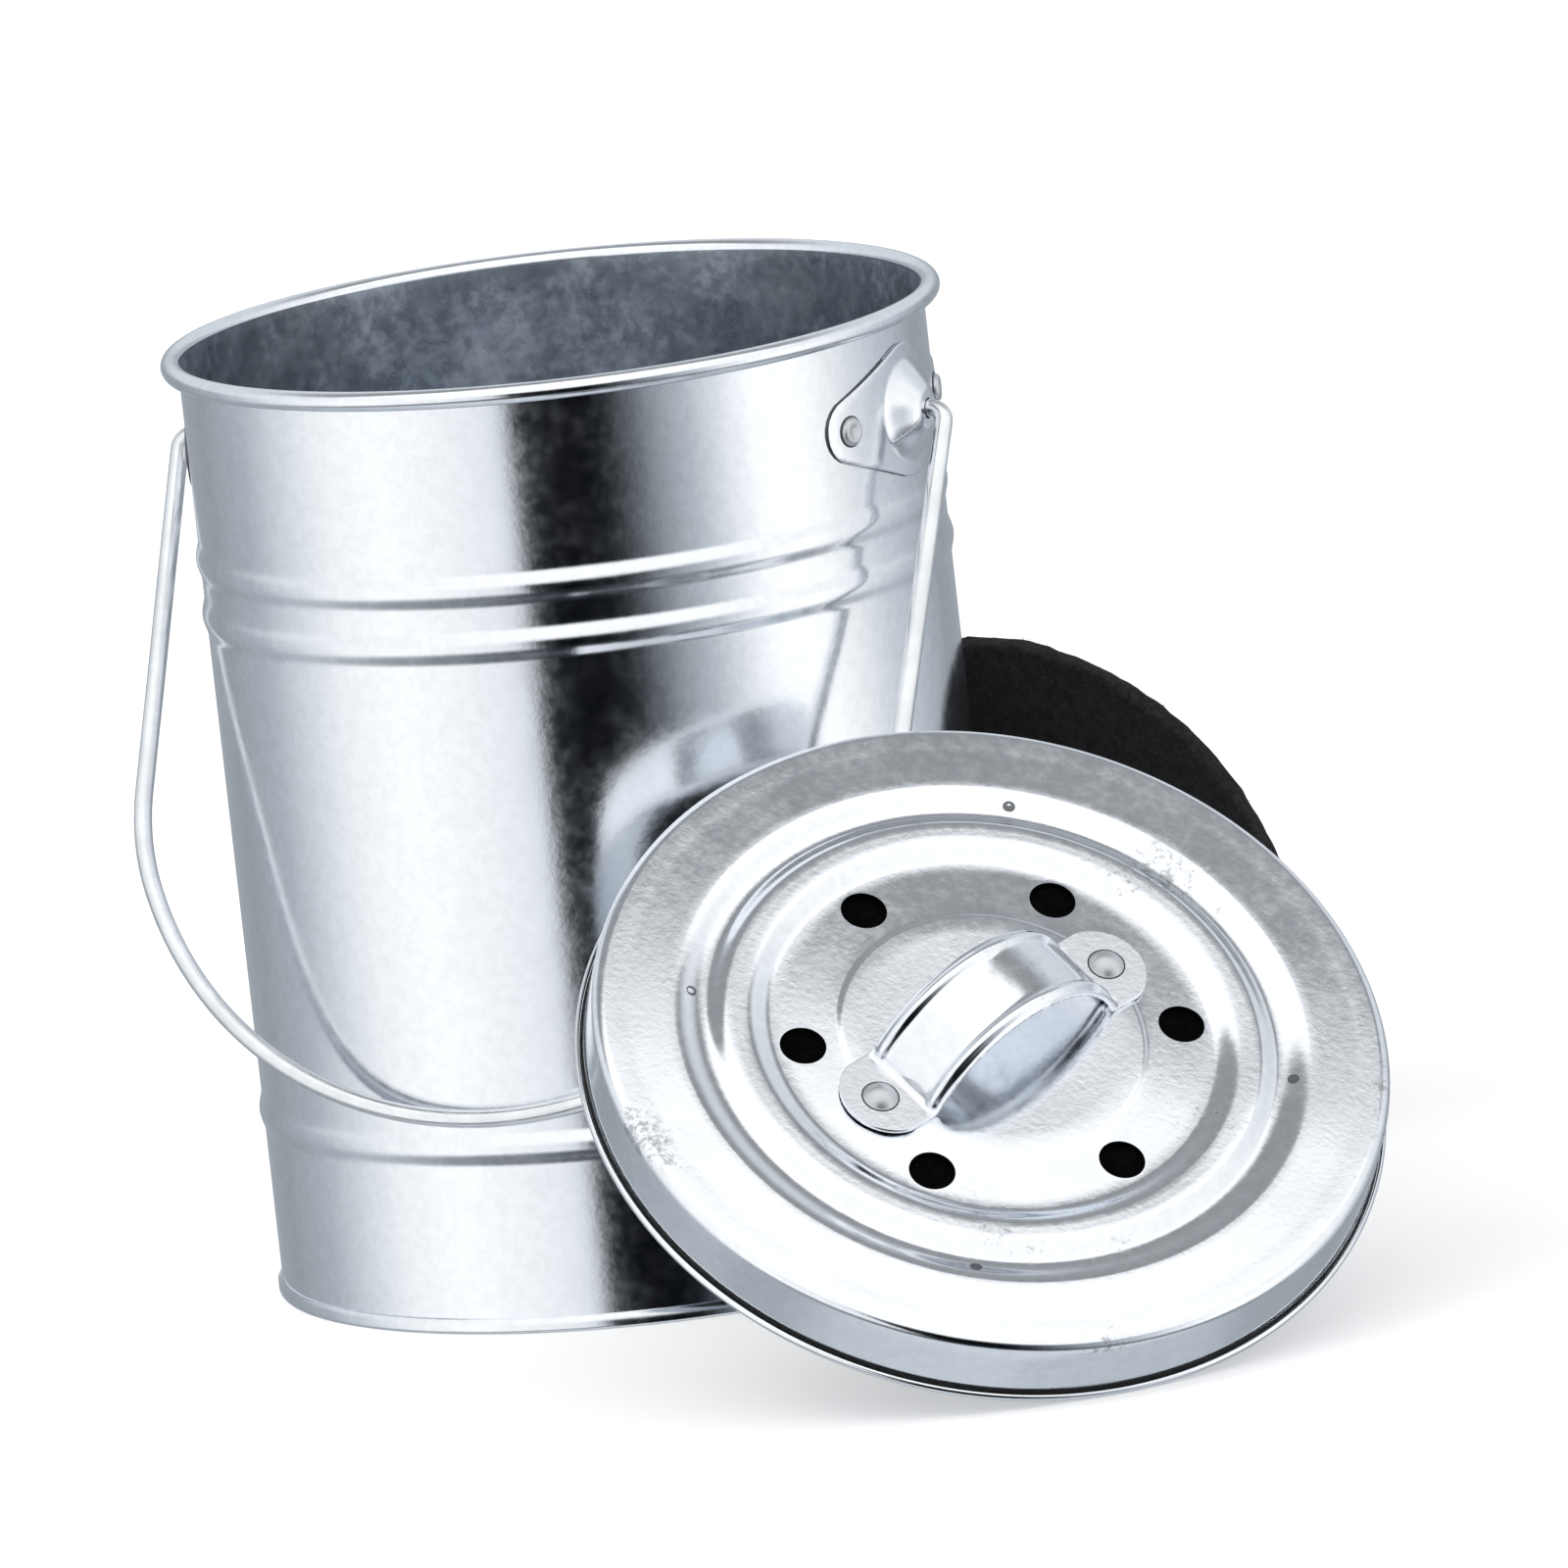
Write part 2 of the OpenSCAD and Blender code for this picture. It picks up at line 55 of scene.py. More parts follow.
# Points nearer to each other than this count as one
TOUCH = 1e-6
STEEL = "galvanised_sheet"
WIRE = "steel_wire"
RIVET = "rivet_steel"
FELT = "felt"


# ---------------------------------------------------------------- places

# Slope, facing and spin of the two leaning pieces, in degrees
LID_LEAN = (41.0, 44.0, 21.3)
FILTER_LEAN = (74.0, 168.0, 0.0)
# Height of the lid's highest ring above the lid's own origin
LID_TOP = 0.00185


def lean(slope, facing, spin):
    """The turn of a leaning piece, from angles in radians."""
    return Matrix.Rotation(facing, 3, "Z") @ Matrix.Rotation(slope, 3, "X") @ Matrix.Rotation(spin, 3, "Z")


def measured_place(node, angles, depth=None):
    """Where a leaning node's own origin lies: its middle, at its underside or at a depth below its top."""
    turn = lean(*[math.radians(a) for a in angles])
    points = [turn.transposed() @ v.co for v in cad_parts[node].data.vertices]
    low = [min(p[k] for p in points) for k in range(3)]
    high = [max(p[k] for p in points) for k in range(3)]
    z = low[2] if depth is None else high[2] - depth
    return tuple(turn @ Vector(((low[0] + high[0]) / 2, (low[1] + high[1]) / 2, z)))


LID_PLACE = measured_place("lid_pan", LID_LEAN, LID_TOP)
FILTER_PLACE = measured_place("filter_pad", FILTER_LEAN)


# ---------------------------------------------------------------- settings


def length_setting(name, description, default):
    return FloatProperty(name=name, description=description, default=default, unit="LENGTH")


def angle_setting(name, description, degrees):
    return FloatProperty(name=name, description=description, default=math.radians(degrees), subtype="ANGLE")


def place_setting(name, description, default):
    return FloatVectorProperty(
        name=name, description=description, default=default, size=3, subtype="TRANSLATION", precision=5
    )


def colour_setting(name, description, default):
    return FloatVectorProperty(
        name=name, description=description, default=default, size=3, subtype="COLOR", min=0, max=1
    )


def count_setting(name, description, default, least):
    return IntProperty(name=name, description=description, default=default, min=least)


def share_setting(name, description, default):
    return FloatProperty(name=name, description=description, default=default, min=0, max=1, subtype="FACTOR")


class CaddyBucketSettings(bpy.types.PropertyGroup):
    wall_radius: length_setting("Wall radius", "Outside radius of the bucket's wall", 0.086)
    height: length_setting("Height", "Height to the top of the rim", 0.220)
    sheet: length_setting("Sheet", "Thickness of the bucket's sheet", 0.0006)
    curl: length_setting("Curl", "Outside diameter of the rim's curl", 0.0046)
    bead_out: length_setting("Bead height", "Distance a bead stands out of the wall", 0.0009)
    bead_half: length_setting("Bead half width", "Half the height of a bead", 0.0046)
    beads: FloatVectorProperty(
        name="Bead places",
        description="Heights of the beads' middles",
        size=3,
        default=(0.043, 0.1595, 0.1725),
        unit="LENGTH",
    )
    waviness: length_setting("Waviness", "Depth of the sheet's faint waves", 0.00005)
    steps: count_setting("Steps", "Steps round the bucket", 216, 24)


class CaddyEarSettings(bpy.types.PropertyGroup):
    pivot_z: length_setting("Pivot height", "Height of the bail's pivot", 0.195)
    seat: length_setting("Seat radius", "Radius of the ears' outer face", 0.08685)
    plate: length_setting("Plate", "Thickness of an ear", 0.0008)
    reach: length_setting("Boss height", "Distance the boss stands out", 0.0052)
    rivet_arc: length_setting("Rivet distance", "Distance of a rivet from the ear's middle", 0.0255)
    rivet_head: length_setting("Rivet head", "Diameter of an ear rivet's head", 0.0066)


class CaddyBailSettings(bpy.types.PropertyGroup):
    wire: length_setting("Wire", "Diameter of the bail's wire", 0.0042)
    lean: angle_setting("Lean", "Angle at which the bail hangs", 31.527)
    leg: length_setting("Leg", "Straight length of a leg", 0.084)
    taper: angle_setting("Taper", "Angle by which a leg leans inwards", 1.2)
    corner: length_setting("Corner radius", "Bend radius at a leg's foot", 0.062)
    turn: angle_setting("Corner turn", "Angle turned at a leg's foot", 23.0)


class CaddyLidSettings(bpy.types.PropertyGroup):
    place: place_setting("Place", "Where the middle of the lid lies", LID_PLACE)
    slope: angle_setting("Slope", "Slope of the leaning lid", LID_LEAN[0])
    facing: angle_setting("Facing", "Direction the lid faces", LID_LEAN[1])
    spin: angle_setting("Spin", "Turn of the lid about its own axis", LID_LEAN[2])
    sheet: length_setting("Sheet", "Thickness of the lid's sheet", 0.0005)
    vents: count_setting("Vents", "Number of vent holes", 6, 1)
    vent: length_setting("Vent", "Diameter of a vent hole", 0.0106)
    vent_ring: length_setting("Vent ring", "Radius of the circle of vents", 0.044)
    steps: count_setting("Steps", "Steps round the lid", 240, 24)


class CaddyHandleSettings(bpy.types.PropertyGroup):
    pitch: length_setting("Rivet pitch", "Distance between the handle's rivets", 0.069)
    width: length_setting("Strap width", "Width of the strap", 0.022)
    strap: length_setting("Strap", "Thickness of the strap", 0.001)
    arch: length_setting("Arch", "Inside height of the arch", 0.018)
    rib: length_setting("Rib", "Height of the strap's edge ribs", 0.0011)
    rivet_head: length_setting("Rivet head", "Diameter of a lid rivet's head", 0.008)


class CaddyFilterSettings(bpy.types.PropertyGroup):
    radius: length_setting("Radius", "Radius of a filter", 0.0655)
    thickness: length_setting("Thickness", "Thickness of a filter", 0.006)
    place: place_setting("Place", "Where the spare filter's inner face is centred", FILTER_PLACE)
    slope: angle_setting("Slope", "Slope of the leaning filter", FILTER_LEAN[0])
    facing: angle_setting("Facing", "Direction the filter faces", FILTER_LEAN[1])
    fibres: count_setting("Fibres", "Loose fibres on the spare filter", 5200, 0)
    colour: colour_setting("Colour", "Colour of the felt", (0.013, 0.013, 0.014))


class CaddyFinishSettings(bpy.types.PropertyGroup):
    steel: colour_setting("Steel", "Colour of the galvanised sheet", (0.83, 0.86, 0.90))
    # Painted shade: the inside is the same sheet as the outside, given this darker, bluer colour
    inside: colour_setting("Inside", "Colour of the bucket's dull inside", (0.60, 0.66, 0.73))
    wire: colour_setting("Wire", "Colour of the bright wire", (0.84, 0.86, 0.88))
    gloss: share_setting("Roughness", "Roughness of the bright sheet", 0.135)


class CaddyStageSettings(bpy.types.PropertyGroup):
    azimuth: angle_setting("Azimuth", "Direction the camera looks from", 24.0)
    elevation: angle_setting("Elevation", "Height of the camera above the horizon", 10.7)
    roll: angle_setting("Roll", "Tilt of the camera", 6.37)
    distance: length_setting("Distance", "Distance of the camera", 6.3)
    lens: FloatProperty(name="Lens", description="Focal length in millimetres", default=628.2, unit="CAMERA")
    floor: colour_setting("Floor", "Colour of the floor", (0.80, 0.80, 0.81))


# ---------------------------------------------------------------- shapes


def arc(cx, cy, r, start, end, n):
    """Points on an arc, angles in degrees."""
    turns = [math.radians(start + (end - start) * k / n) for k in range(n + 1)]
    return [(cx + r * math.cos(a), cy + r * math.sin(a)) for a in turns]


def straight(a, b, n):
    """Points along a straight line from a to b."""
    return [(a[0] + (b[0] - a[0]) * k / n, a[1] + (b[1] - a[1]) * k / n) for k in range(n + 1)]


def ramp(a, b, n):
    """A smooth pressed step from a to b."""
    rise = [(1 - math.cos(math.pi * k / n)) / 2 for k in range(n + 1)]
    return [(a[0] + (b[0] - a[0]) * k / n, a[1] + (b[1] - a[1]) * rise[k]) for k in range(n + 1)]


def tidy_path(path):
    """The path without the points that repeat the one before."""
    out = [path[0]]
    for p in path[1:]:
        if math.dist(p, out[-1]) > TOUCH:
            out.append(p)
    return out


def sheet_outline(path, t):
    """Closed outline of a sheet of thickness t along its middle line."""
    path = tidy_path(path)
    left, right = [], []
    for i, p in enumerate(path):
        a, b = path[max(i - 1, 0)], path[min(i + 1, len(path) - 1)]
        d = Vector((b[0] - a[0], b[1] - a[1])).normalized()
        left.append((p[0] - d.y * t / 2, p[1] + d.x * t / 2))
        right.append((p[0] + d.y * t / 2, p[1] - d.x * t / 2))
    if path[0][0] == 0:
        left[0], right[0] = (0, left[0][1]), (0, right[0][1])
    return left + right[::-1]


def held(share):
    """A share held between 0 and 1."""
    return min(1, max(0, share))


def axis_distance(p):
    """A point's distance from the Z axis."""
    return math.hypot(p.x, p.y)


def line_mesh(name, points, closed):
    """A mesh of edges from point to point; closed joins the last to the first."""
    me = bpy.data.meshes.new(name)
    n = len(points)
    me.from_pydata(points, [(i, (i + 1) % n) for i in range(n if closed else n - 1)], [])
    return me


def add_object(name, data):
    """A new object in the scene, at the origin."""
    ob = bpy.data.objects.new(name, data)
    bpy.context.scene.collection.objects.link(ob)
    return ob


def grid_mesh(name, rows, closed=False):
    """A mesh through rows of points; closed joins each row's ends."""
    n = len(rows[0])
    verts = [p for row in rows for p in row]
    faces = []
    for j in range(len(rows) - 1):
        for i in range(n if closed else n - 1):
            k = (i + 1) % n
            faces.append((j * n + i, j * n + k, (j + 1) * n + k, (j + 1) * n + i))
    me = bpy.data.meshes.new(name)
    me.from_pydata(verts, [], faces)
    return me


def finish_mesh(me, sharp, merge=2 * TOUCH):
    """Merges doubles, points the faces outwards and smooths all but the edges sharper than an angle."""
    bm = bmesh.new()
    bm.from_mesh(me)
    bmesh.ops.remove_doubles(bm, verts=bm.verts, dist=merge)
    bmesh.ops.dissolve_degenerate(bm, edges=bm.edges, dist=merge / 2)
    bmesh.ops.recalc_face_normals(bm, faces=bm.faces)
    bm.to_mesh(me)
    bm.free()
    me.shade_smooth()
    me.set_sharp_from_angle(angle=math.radians(sharp))
    me.update()


def bake(ob):
    """Turns an object's modifiers into its plain mesh."""
    bpy.context.view_layer.update()
    dg = bpy.context.evaluated_depsgraph_get()
    me = bpy.data.meshes.new_from_object(ob.evaluated_get(dg), depsgraph=dg)
    ob.modifiers.clear()
    old = ob.data
    ob.data = me
    me.name = ob.name
    if old.users == 0:
        bpy.data.meshes.remove(old)


def thicken(ob, thickness, offset, edge):
    """Gives a surface its sheet thickness and rounds the sharp edges, then bakes both."""
    plate = ob.modifiers.new("plate", "SOLIDIFY")
    plate.thickness, plate.offset = thickness, offset
    soft = ob.modifiers.new("edge", "BEVEL")
    soft.width, soft.segments = edge, 2
    soft.limit_method, soft.angle_limit = "ANGLE", math.radians(50)
    bake(ob)


def settle(ob, body, slot, *nodes):
    """Puts a finished piece on its body, in the place of the nodes it shows, which it hides; the slot is not
    used.
    """
    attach(ob, body)
    if nodes:
        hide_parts(*nodes)


def lid_matrix():
    """The place and turn of the leaning lid's own frame."""
    s = bpy.context.scene.caddy_lid
    return Matrix.Translation(Vector(s.place)) @ lean(s.slope, s.facing, s.spin).to_4x4()


def lid_up():
    """The direction the lid's plate faces."""
    return lid_matrix().to_3x3() @ Vector((0, 0, 1))


# ---------------------------------------------------------------- node trees

# The numbers of a Mix node's sockets when it mixes colours
MIX_A = 6
MIX_B = 7
MIX_OUT = 2
# The numbers of a Random Value node's limits when it gives a plain number
RANDOM_LOW = 2
RANDOM_HIGH = 3
# Steps round a fastener and round a vent hole
FASTENER_STEPS = 32
VENT_STEPS = 48
# A fibre's greatest tilt to each side and turn, in radians, and the least and greatest share of its length
FIBRE_TILT = 0.95
FIBRE_TURN = 6.283
FIBRE_SIZES = (0.5, 1.25)


class Tree:
    """A short way to write a node tree."""

    def __init__(self, tree):
        self.tree, self.nodes, self.links = tree, tree.nodes, tree.links
        self.column = 0

    def add(self, kind, feeds=None, label=None, **settings):
        """A node with its settings, and with its inputs joined to sockets or set to values."""
        node = self.nodes.new(kind)
        self.column += 1
        node.location = (180 * self.column, 0)
        if label:
            node.label = label
        for key, value in settings.items():
            setattr(node, key, value)
        for key, value in (feeds or {}).items():
            self.feed(node.inputs[key], value)
        return node

    def feed(self, socket, value):
        """Joins an input to a socket, or sets it to a value."""
        if isinstance(value, bpy.types.NodeSocket):
            self.links.new(value, socket)
        else:
            socket.default_value = value

    def calculate(self, operation, a, b):
        """The result of a Math node."""
        return self.add("ShaderNodeMath", {0: a, 1: b}, operation=operation).outputs[0]


def geometry_tree(name, inputs):
    """An empty Geometry Nodes tree with named inputs: (name, socket type, default)."""
    tree = bpy.data.node_groups.new(name, "GeometryNodeTree")
    tree.interface.new_socket("Geometry", in_out="INPUT", socket_type="NodeSocketGeometry")
    for label, kind, default in inputs:
        socket = tree.interface.new_socket(label, in_out="INPUT", socket_type="NodeSocket" + kind)
        if default is not None:
            socket.default_value = default
    tree.interface.new_socket("Geometry", in_out="OUTPUT", socket_type="NodeSocketGeometry")
    t = Tree(tree)
    t.given = t.add("NodeGroupInput").outputs
    t.out = t.add("NodeGroupOutput")
    return t


def use_tree(ob, tree, values):
    """Puts a tree on an object, with its inputs set by socket identifier, and bakes it."""
    mod = ob.modifiers.new(tree.name, "NODES")
    mod.node_group = tree
    for item in tree.interface.items_tree:
        if item.item_type == "SOCKET" and item.in_out == "INPUT" and item.name in values:
            mod[item.identifier] = values[item.name]
    bake(ob)


def finish_tree(t, geometry):
    """Ends a tree in Realize Instances and Set Material, and returns it."""
    real = t.add("GeometryNodeRealizeInstances", {"Geometry": geometry})
    feeds = {"Geometry": real.outputs["Geometry"], "Material": t.given["Finish"]}
    paint = t.add("GeometryNodeSetMaterial", feeds)
    t.feed(t.out.inputs["Geometry"], paint.outputs["Geometry"])
    return t.tree


def turned_sheet_tree():
    """Turns an outline, drawn as radius and height, about the Z axis."""
    t = geometry_tree("Turned sheet", [("Steps", "Int", 128), ("Finish", "Material", None)])
    outline = t.add("GeometryNodeMeshToCurve", {"Mesh": t.given["Geometry"]}, "Outline")
    feeds = {"Resolution": t.given["Steps"], "Radius": TOUCH}
    axis = t.add("GeometryNodeCurvePrimitiveCircle", feeds, "Axis")
    feeds = {"Curve": axis.outputs["Curve"], "Profile Curve": outline.outputs["Curve"]}
    sweep = t.add("GeometryNodeCurveToMesh", feeds, "Turn")
    return finish_tree(t, sweep.outputs["Mesh"])


def turned(name, loop, steps, finish_name, closed=True):
    """A turned piece from an outline of (radius, height) points."""
    ob = add_object(name, line_mesh(name, [(r, -z, 0) for r, z in loop], closed))
    tree = bpy.data.node_groups.get("Turned sheet") or turned_sheet_tree()
    use_tree(ob, tree, {"Steps": steps, "Finish": finish(finish_name)})
    return ob


def perforated_tree():
    """Cuts a ring of round vents through a sheet."""
    sizes = [("Ring radius", "Float", 0.04), ("Vent radius", "Float", 0.005), ("Depth", "Float", 0.01)]
    t = geometry_tree("Vent ring", [("Vents", "Int", 6), *sizes, ("Finish", "Material", None)])
    feeds = {"Vertices": t.given["Vents"], "Radius": t.given["Ring radius"]}
    ring = t.add("GeometryNodeMeshCircle", feeds, "Ring")
    half_step = t.calculate("DIVIDE", math.pi, t.given["Vents"])
    spin = t.add("ShaderNodeCombineXYZ", {"Z": half_step})
    feeds = {"Geometry": ring.outputs["Mesh"], "Rotation": spin.outputs[0]}
    turn = t.add("GeometryNodeTransform", feeds, "Half a step")
    feeds = {"Vertices": VENT_STEPS, "Radius": t.given["Vent radius"], "Depth": t.given["Depth"]}
    punch = t.add("GeometryNodeMeshCylinder", feeds, "Punch")
    feeds = {"Points": turn.outputs["Geometry"], "Instance": punch.outputs["Mesh"]}
    put = t.add("GeometryNodeInstanceOnPoints", feeds)
    real = t.add("GeometryNodeRealizeInstances", {"Geometry": put.outputs["Instances"]})
    feeds = {"Mesh 1": t.given["Geometry"], "Mesh 2": real.outputs["Geometry"]}
    cut = t.add("GeometryNodeMeshBoolean", feeds, operation="DIFFERENCE", solver="EXACT")
    return finish_tree(t, cut.outputs["Mesh"])


def fastener_tree():
    """Sets a copy of one fastener on each point, turned to face along the point's own direction."""
    inputs = [("Fastener", "Object", None), ("Size", "Float", 1.0), ("Finish", "Material", None)]
    t = geometry_tree("Fasteners", inputs)
    what = t.add("GeometryNodeObjectInfo", {"Object": t.given["Fastener"]})
    way = t.add("GeometryNodeInputNamedAttribute", {"Name": "out"}, data_type="FLOAT_VECTOR")
    aim = t.add("FunctionNodeAlignRotationToVector", {"Vector": way.outputs["Attribute"]}, axis="Z")
    feeds = {"Points": t.given["Geometry"], "Instance": what.outputs["Geometry"]}
    feeds |= {"Rotation": aim.outputs["Rotation"], "Scale": t.given["Size"]}
    put = t.add("GeometryNodeInstanceOnPoints", feeds)
    return finish_tree(t, put.outputs["Instances"])


def fasteners(name, outline, places, finish_name, rim=None):
    """One mesh of like fasteners, each turned from an outline and set at (point, direction).

    Faces farther than rim from a fastener's own axis are shaded.
    """
    part = turned("pattern", outline, FASTENER_STEPS, finish_name)
    finish_mesh(part.data, sharp=50)
    past = part.data.attributes.new("past_rim", "BOOLEAN", "FACE")
    for p in part.data.polygons:
        past.data[p.index].value = rim is not None and axis_distance(p.center) > rim
    me = bpy.data.meshes.new(name)
    me.from_pydata([p for p, d in places], [], [])
    out = me.attributes.new("out", "FLOAT_VECTOR", "POINT")
    for k, (p, d) in enumerate(places):
        out.data[k].vector = d
    ob = add_object(name, me)
    tree = bpy.data.node_groups.get("Fasteners") or fastener_tree()
    use_tree(ob, tree, {"Fastener": part, "Size": 1.0, "Finish": finish(finish_name)})
    bpy.data.objects.remove(part)
    if rim is not None:
        past = [face.value for face in ob.data.attributes["past_rim"].data]
        second_finish(ob, "seam_shade", lambda p: past[p.index])
    finish_mesh(ob.data, sharp=50)
    return ob


def wire_tree():
    """Sweeps a round wire along a line of points."""
    inputs = [("Radius", "Float", 0.002), ("Sides", "Int", 20), ("Finish", "Material", None)]
    t = geometry_tree("Bent wire", inputs)
    line = t.add("GeometryNodeMeshToCurve", {"Mesh": t.given["Geometry"]})
    feeds = {"Radius": t.given["Radius"], "Resolution": t.given["Sides"]}
    section = t.add("GeometryNodeCurvePrimitiveCircle", feeds, "Section")
    feeds = {"Curve": line.outputs["Curve"], "Profile Curve": section.outputs["Curve"], "Fill Caps": True}
    sweep = t.add("GeometryNodeCurveToMesh", feeds)
    return finish_tree(t, sweep.outputs["Mesh"])


def fibre_tree():
    """Scatters short bent fibres over a felt face, with a fixed seed."""
    counts = [("Fibres", "Int", 4000), ("Seed", "Int", 7), ("Area", "Float", 0.03)]
    t = geometry_tree("Felt fibres", [("Fibre", "Object", None), *counts, ("Finish", "Material", None)])
    density = t.calculate("DIVIDE", t.given["Fibres"], t.given["Area"])
    feeds = {"Mesh": t.given["Geometry"], "Density": density, "Seed": t.given["Seed"]}
    points = t.add("GeometryNodeDistributePointsOnFaces", feeds, distribute_method="RANDOM")
    least, most = (-FIBRE_TILT, -FIBRE_TILT, 0.0), (FIBRE_TILT, FIBRE_TILT, FIBRE_TURN)
    feeds = {"Min": least, "Max": most, "Seed": t.given["Seed"]}
    tilt = t.add("FunctionNodeRandomValue", feeds, data_type="FLOAT_VECTOR")
    feeds = {RANDOM_LOW: FIBRE_SIZES[0], RANDOM_HIGH: FIBRE_SIZES[1], "Seed": t.given["Seed"]}
    size = t.add("FunctionNodeRandomValue", feeds, data_type="FLOAT")
    feeds = {"Rotation": points.outputs["Rotation"], "Rotate By": tilt.outputs["Value"]}
    tip = t.add("FunctionNodeRotateRotation", feeds, rotation_space="LOCAL")
    what = t.add("GeometryNodeObjectInfo", {"Object": t.given["Fibre"]})
    feeds = {"Points": points.outputs["Points"], "Instance": what.outputs["Geometry"]}
    feeds |= {"Rotation": tip.outputs["Rotation"], "Scale": size.outputs[1]}
    put = t.add("GeometryNodeInstanceOnPoints", feeds)
    both = t.add("GeometryNodeJoinGeometry", {"Geometry": put.outputs["Instances"]})
    t.feed(both.inputs["Geometry"], t.given["Geometry"])
    return finish_tree(t, both.outputs["Geometry"])


# ---------------------------------------------------------------- finishes


def material(name):
    """A new material and a tree for it, with the inputs of its shader and the piece's own coordinates."""
    mat = bpy.data.materials.new(name)
    mat.use_nodes = True
    t = Tree(mat.node_tree)
    t.shader = mat.node_tree.nodes["Principled BSDF"].inputs
    t.coords = t.add("ShaderNodeTexCoord").outputs["Object"]
    return mat, t


def noise_at(t, fineness, detail=3.0, rough=0.5, distortion=0.0):
    """Noise over the piece."""
    feeds = {"Vector": t.coords, "Scale": fineness}
    feeds |= {"Detail": detail, "Roughness": rough, "Distortion": distortion}
    return t.add("ShaderNodeTexNoise", feeds).outputs["Fac"]


def spread(t, value, low, high, a, b, shape="SMOOTHSTEP"):
    """Maps a value from low..high to a..b, held at the ends."""
    feeds = {"From Min": low, "From Max": high, "To Min": a, "To Max": b, "Value": value}
    return t.add("ShaderNodeMapRange", feeds, interpolation_type=shape).outputs["Result"]


def blend(t, share, a, b):
    """Mixes two colours, or two sockets that carry colours."""
    ends = [c if isinstance(c, bpy.types.NodeSocket) else (*c, 1) for c in (a, b)]
    feeds = {"Factor": share, MIX_A: ends[0], MIX_B: ends[1]}
    return t.add("ShaderNodeMix", feeds, data_type="RGBA").outputs[MIX_OUT]


def tints(colour, darker, lighter):
    """Two tints of a colour."""
    return [c * darker for c in colour], [min(1, c * lighter) for c in colour]


def bumps(t, layers):
    """A chain of bumps from (height value, depth in metres)."""
    last = None
    for height, depth in layers:
        feeds = {"Strength": 1.0, "Distance": depth, "Height": height}
        if last:
            feeds["Normal"] = last
        last = t.add("ShaderNodeBump", feeds).outputs["Normal"]
    t.feed(t.shader["Normal"], last)


# Depth of the sheets' finest unevenness
PEEL = 0.000016
# The lid's patches begin at this depth below its plate, and reach their full strength over this rise
PATCH_DEPTH = 0.003
PATCH_RISE = 0.0015
# Share of its colour that a piece keeps in a shaded seam, at a weld mark and under the vents
SEAM_SHADE = 0.10
WELD_SHADE = 0.2
FELT_SHADE = 0.14


def above_plane(t, plane):
    """The share by which a point lies above a plane, given as its direction and its distance."""
    direction, distance = plane
    height = t.add("ShaderNodeVectorMath", {0: t.coords, 1: direction}, operation="DOT_PRODUCT")
    low = distance - PATCH_DEPTH
    return spread(t, height.outputs["Value"], low, low + PATCH_RISE, 0, 1)


def sheet_steel(name, colour, gloss, dull=0.10, patches=0.0, waves=0.00003, blotch=0.0, above=None):
    """Bright galvanised sheet: a soft mottle, fine grain, faint waves, and oxidised patches above a plane."""
    mat, t = material(name)
    cloud = noise_at(t, 75, detail=4, rough=0.6, distortion=0.15)
    mottle = noise_at(t, 330, detail=4, rough=0.65)
    tint = blend(t, spread(t, mottle, 0.3, 0.7, 0, 1), *tints(colour, 0.95, 1.03))
    if blotch:
        broad = noise_at(t, 26, detail=3, rough=0.6)
        bloom = t.calculate("ADD", broad, spread(t, mottle, 0.3, 0.7, -0.05, 0.05))
        tint = blend(t, spread(t, bloom, 0.42, 0.66, 0, 1), *tints(colour, 1 - blotch, 1 + blotch))
    clouded = spread(t, cloud, 0.32, 0.7, gloss * 0.85, gloss + dull * 0.3)
    rough = t.calculate("ADD", clouded, spread(t, mottle, 0.35, 0.75, 0.0, dull * 0.5))
    if patches:
        ragged = spread(t, noise_at(t, 420, detail=5, rough=0.75), 0.3, 0.7, -0.10, 0.10)
        stain = t.calculate("ADD", noise_at(t, 21, detail=1, rough=0.5), ragged)
        where = spread(t, stain, 0.68, 0.74, 0, patches)
        if above:
            where = t.calculate("MULTIPLY", where, above_plane(t, above))
        tint = blend(t, where, tint, [c * 0.45 for c in colour])
        rough = t.calculate("ADD", rough, spread(t, stain, 0.64, 0.70, 0, 0.14 * patches))
    t.feed(t.shader["Base Color"], tint)
    t.feed(t.shader["Roughness"], rough)
    t.feed(t.shader["Metallic"], 1.0)
    bumps(t, [(noise_at(t, 24, detail=2, rough=0.4), waves), (noise_at(t, 620, detail=3, rough=0.6), PEEL)])
    return mat


def drawn_wire(name, colour, gloss):
    """Bright wire with soft clouds and a finer grain."""
    mat, t = material(name)
    grain = noise_at(t, 225, detail=3, rough=0.6)
    cloud = noise_at(t, 90, detail=4, rough=0.6)
    t.feed(t.shader["Base Color"], blend(t, spread(t, cloud, 0.35, 0.7, 0, 1), *tints(colour, 0.88, 1)))
    t.feed(t.shader["Roughness"], spread(t, grain, 0.3, 0.7, gloss * 0.8, gloss + 0.12))
    t.feed(t.shader["Metallic"], 1.0)
    bumps(t, [(cloud, 0.00003), (grain, 0.000006)])
    return mat


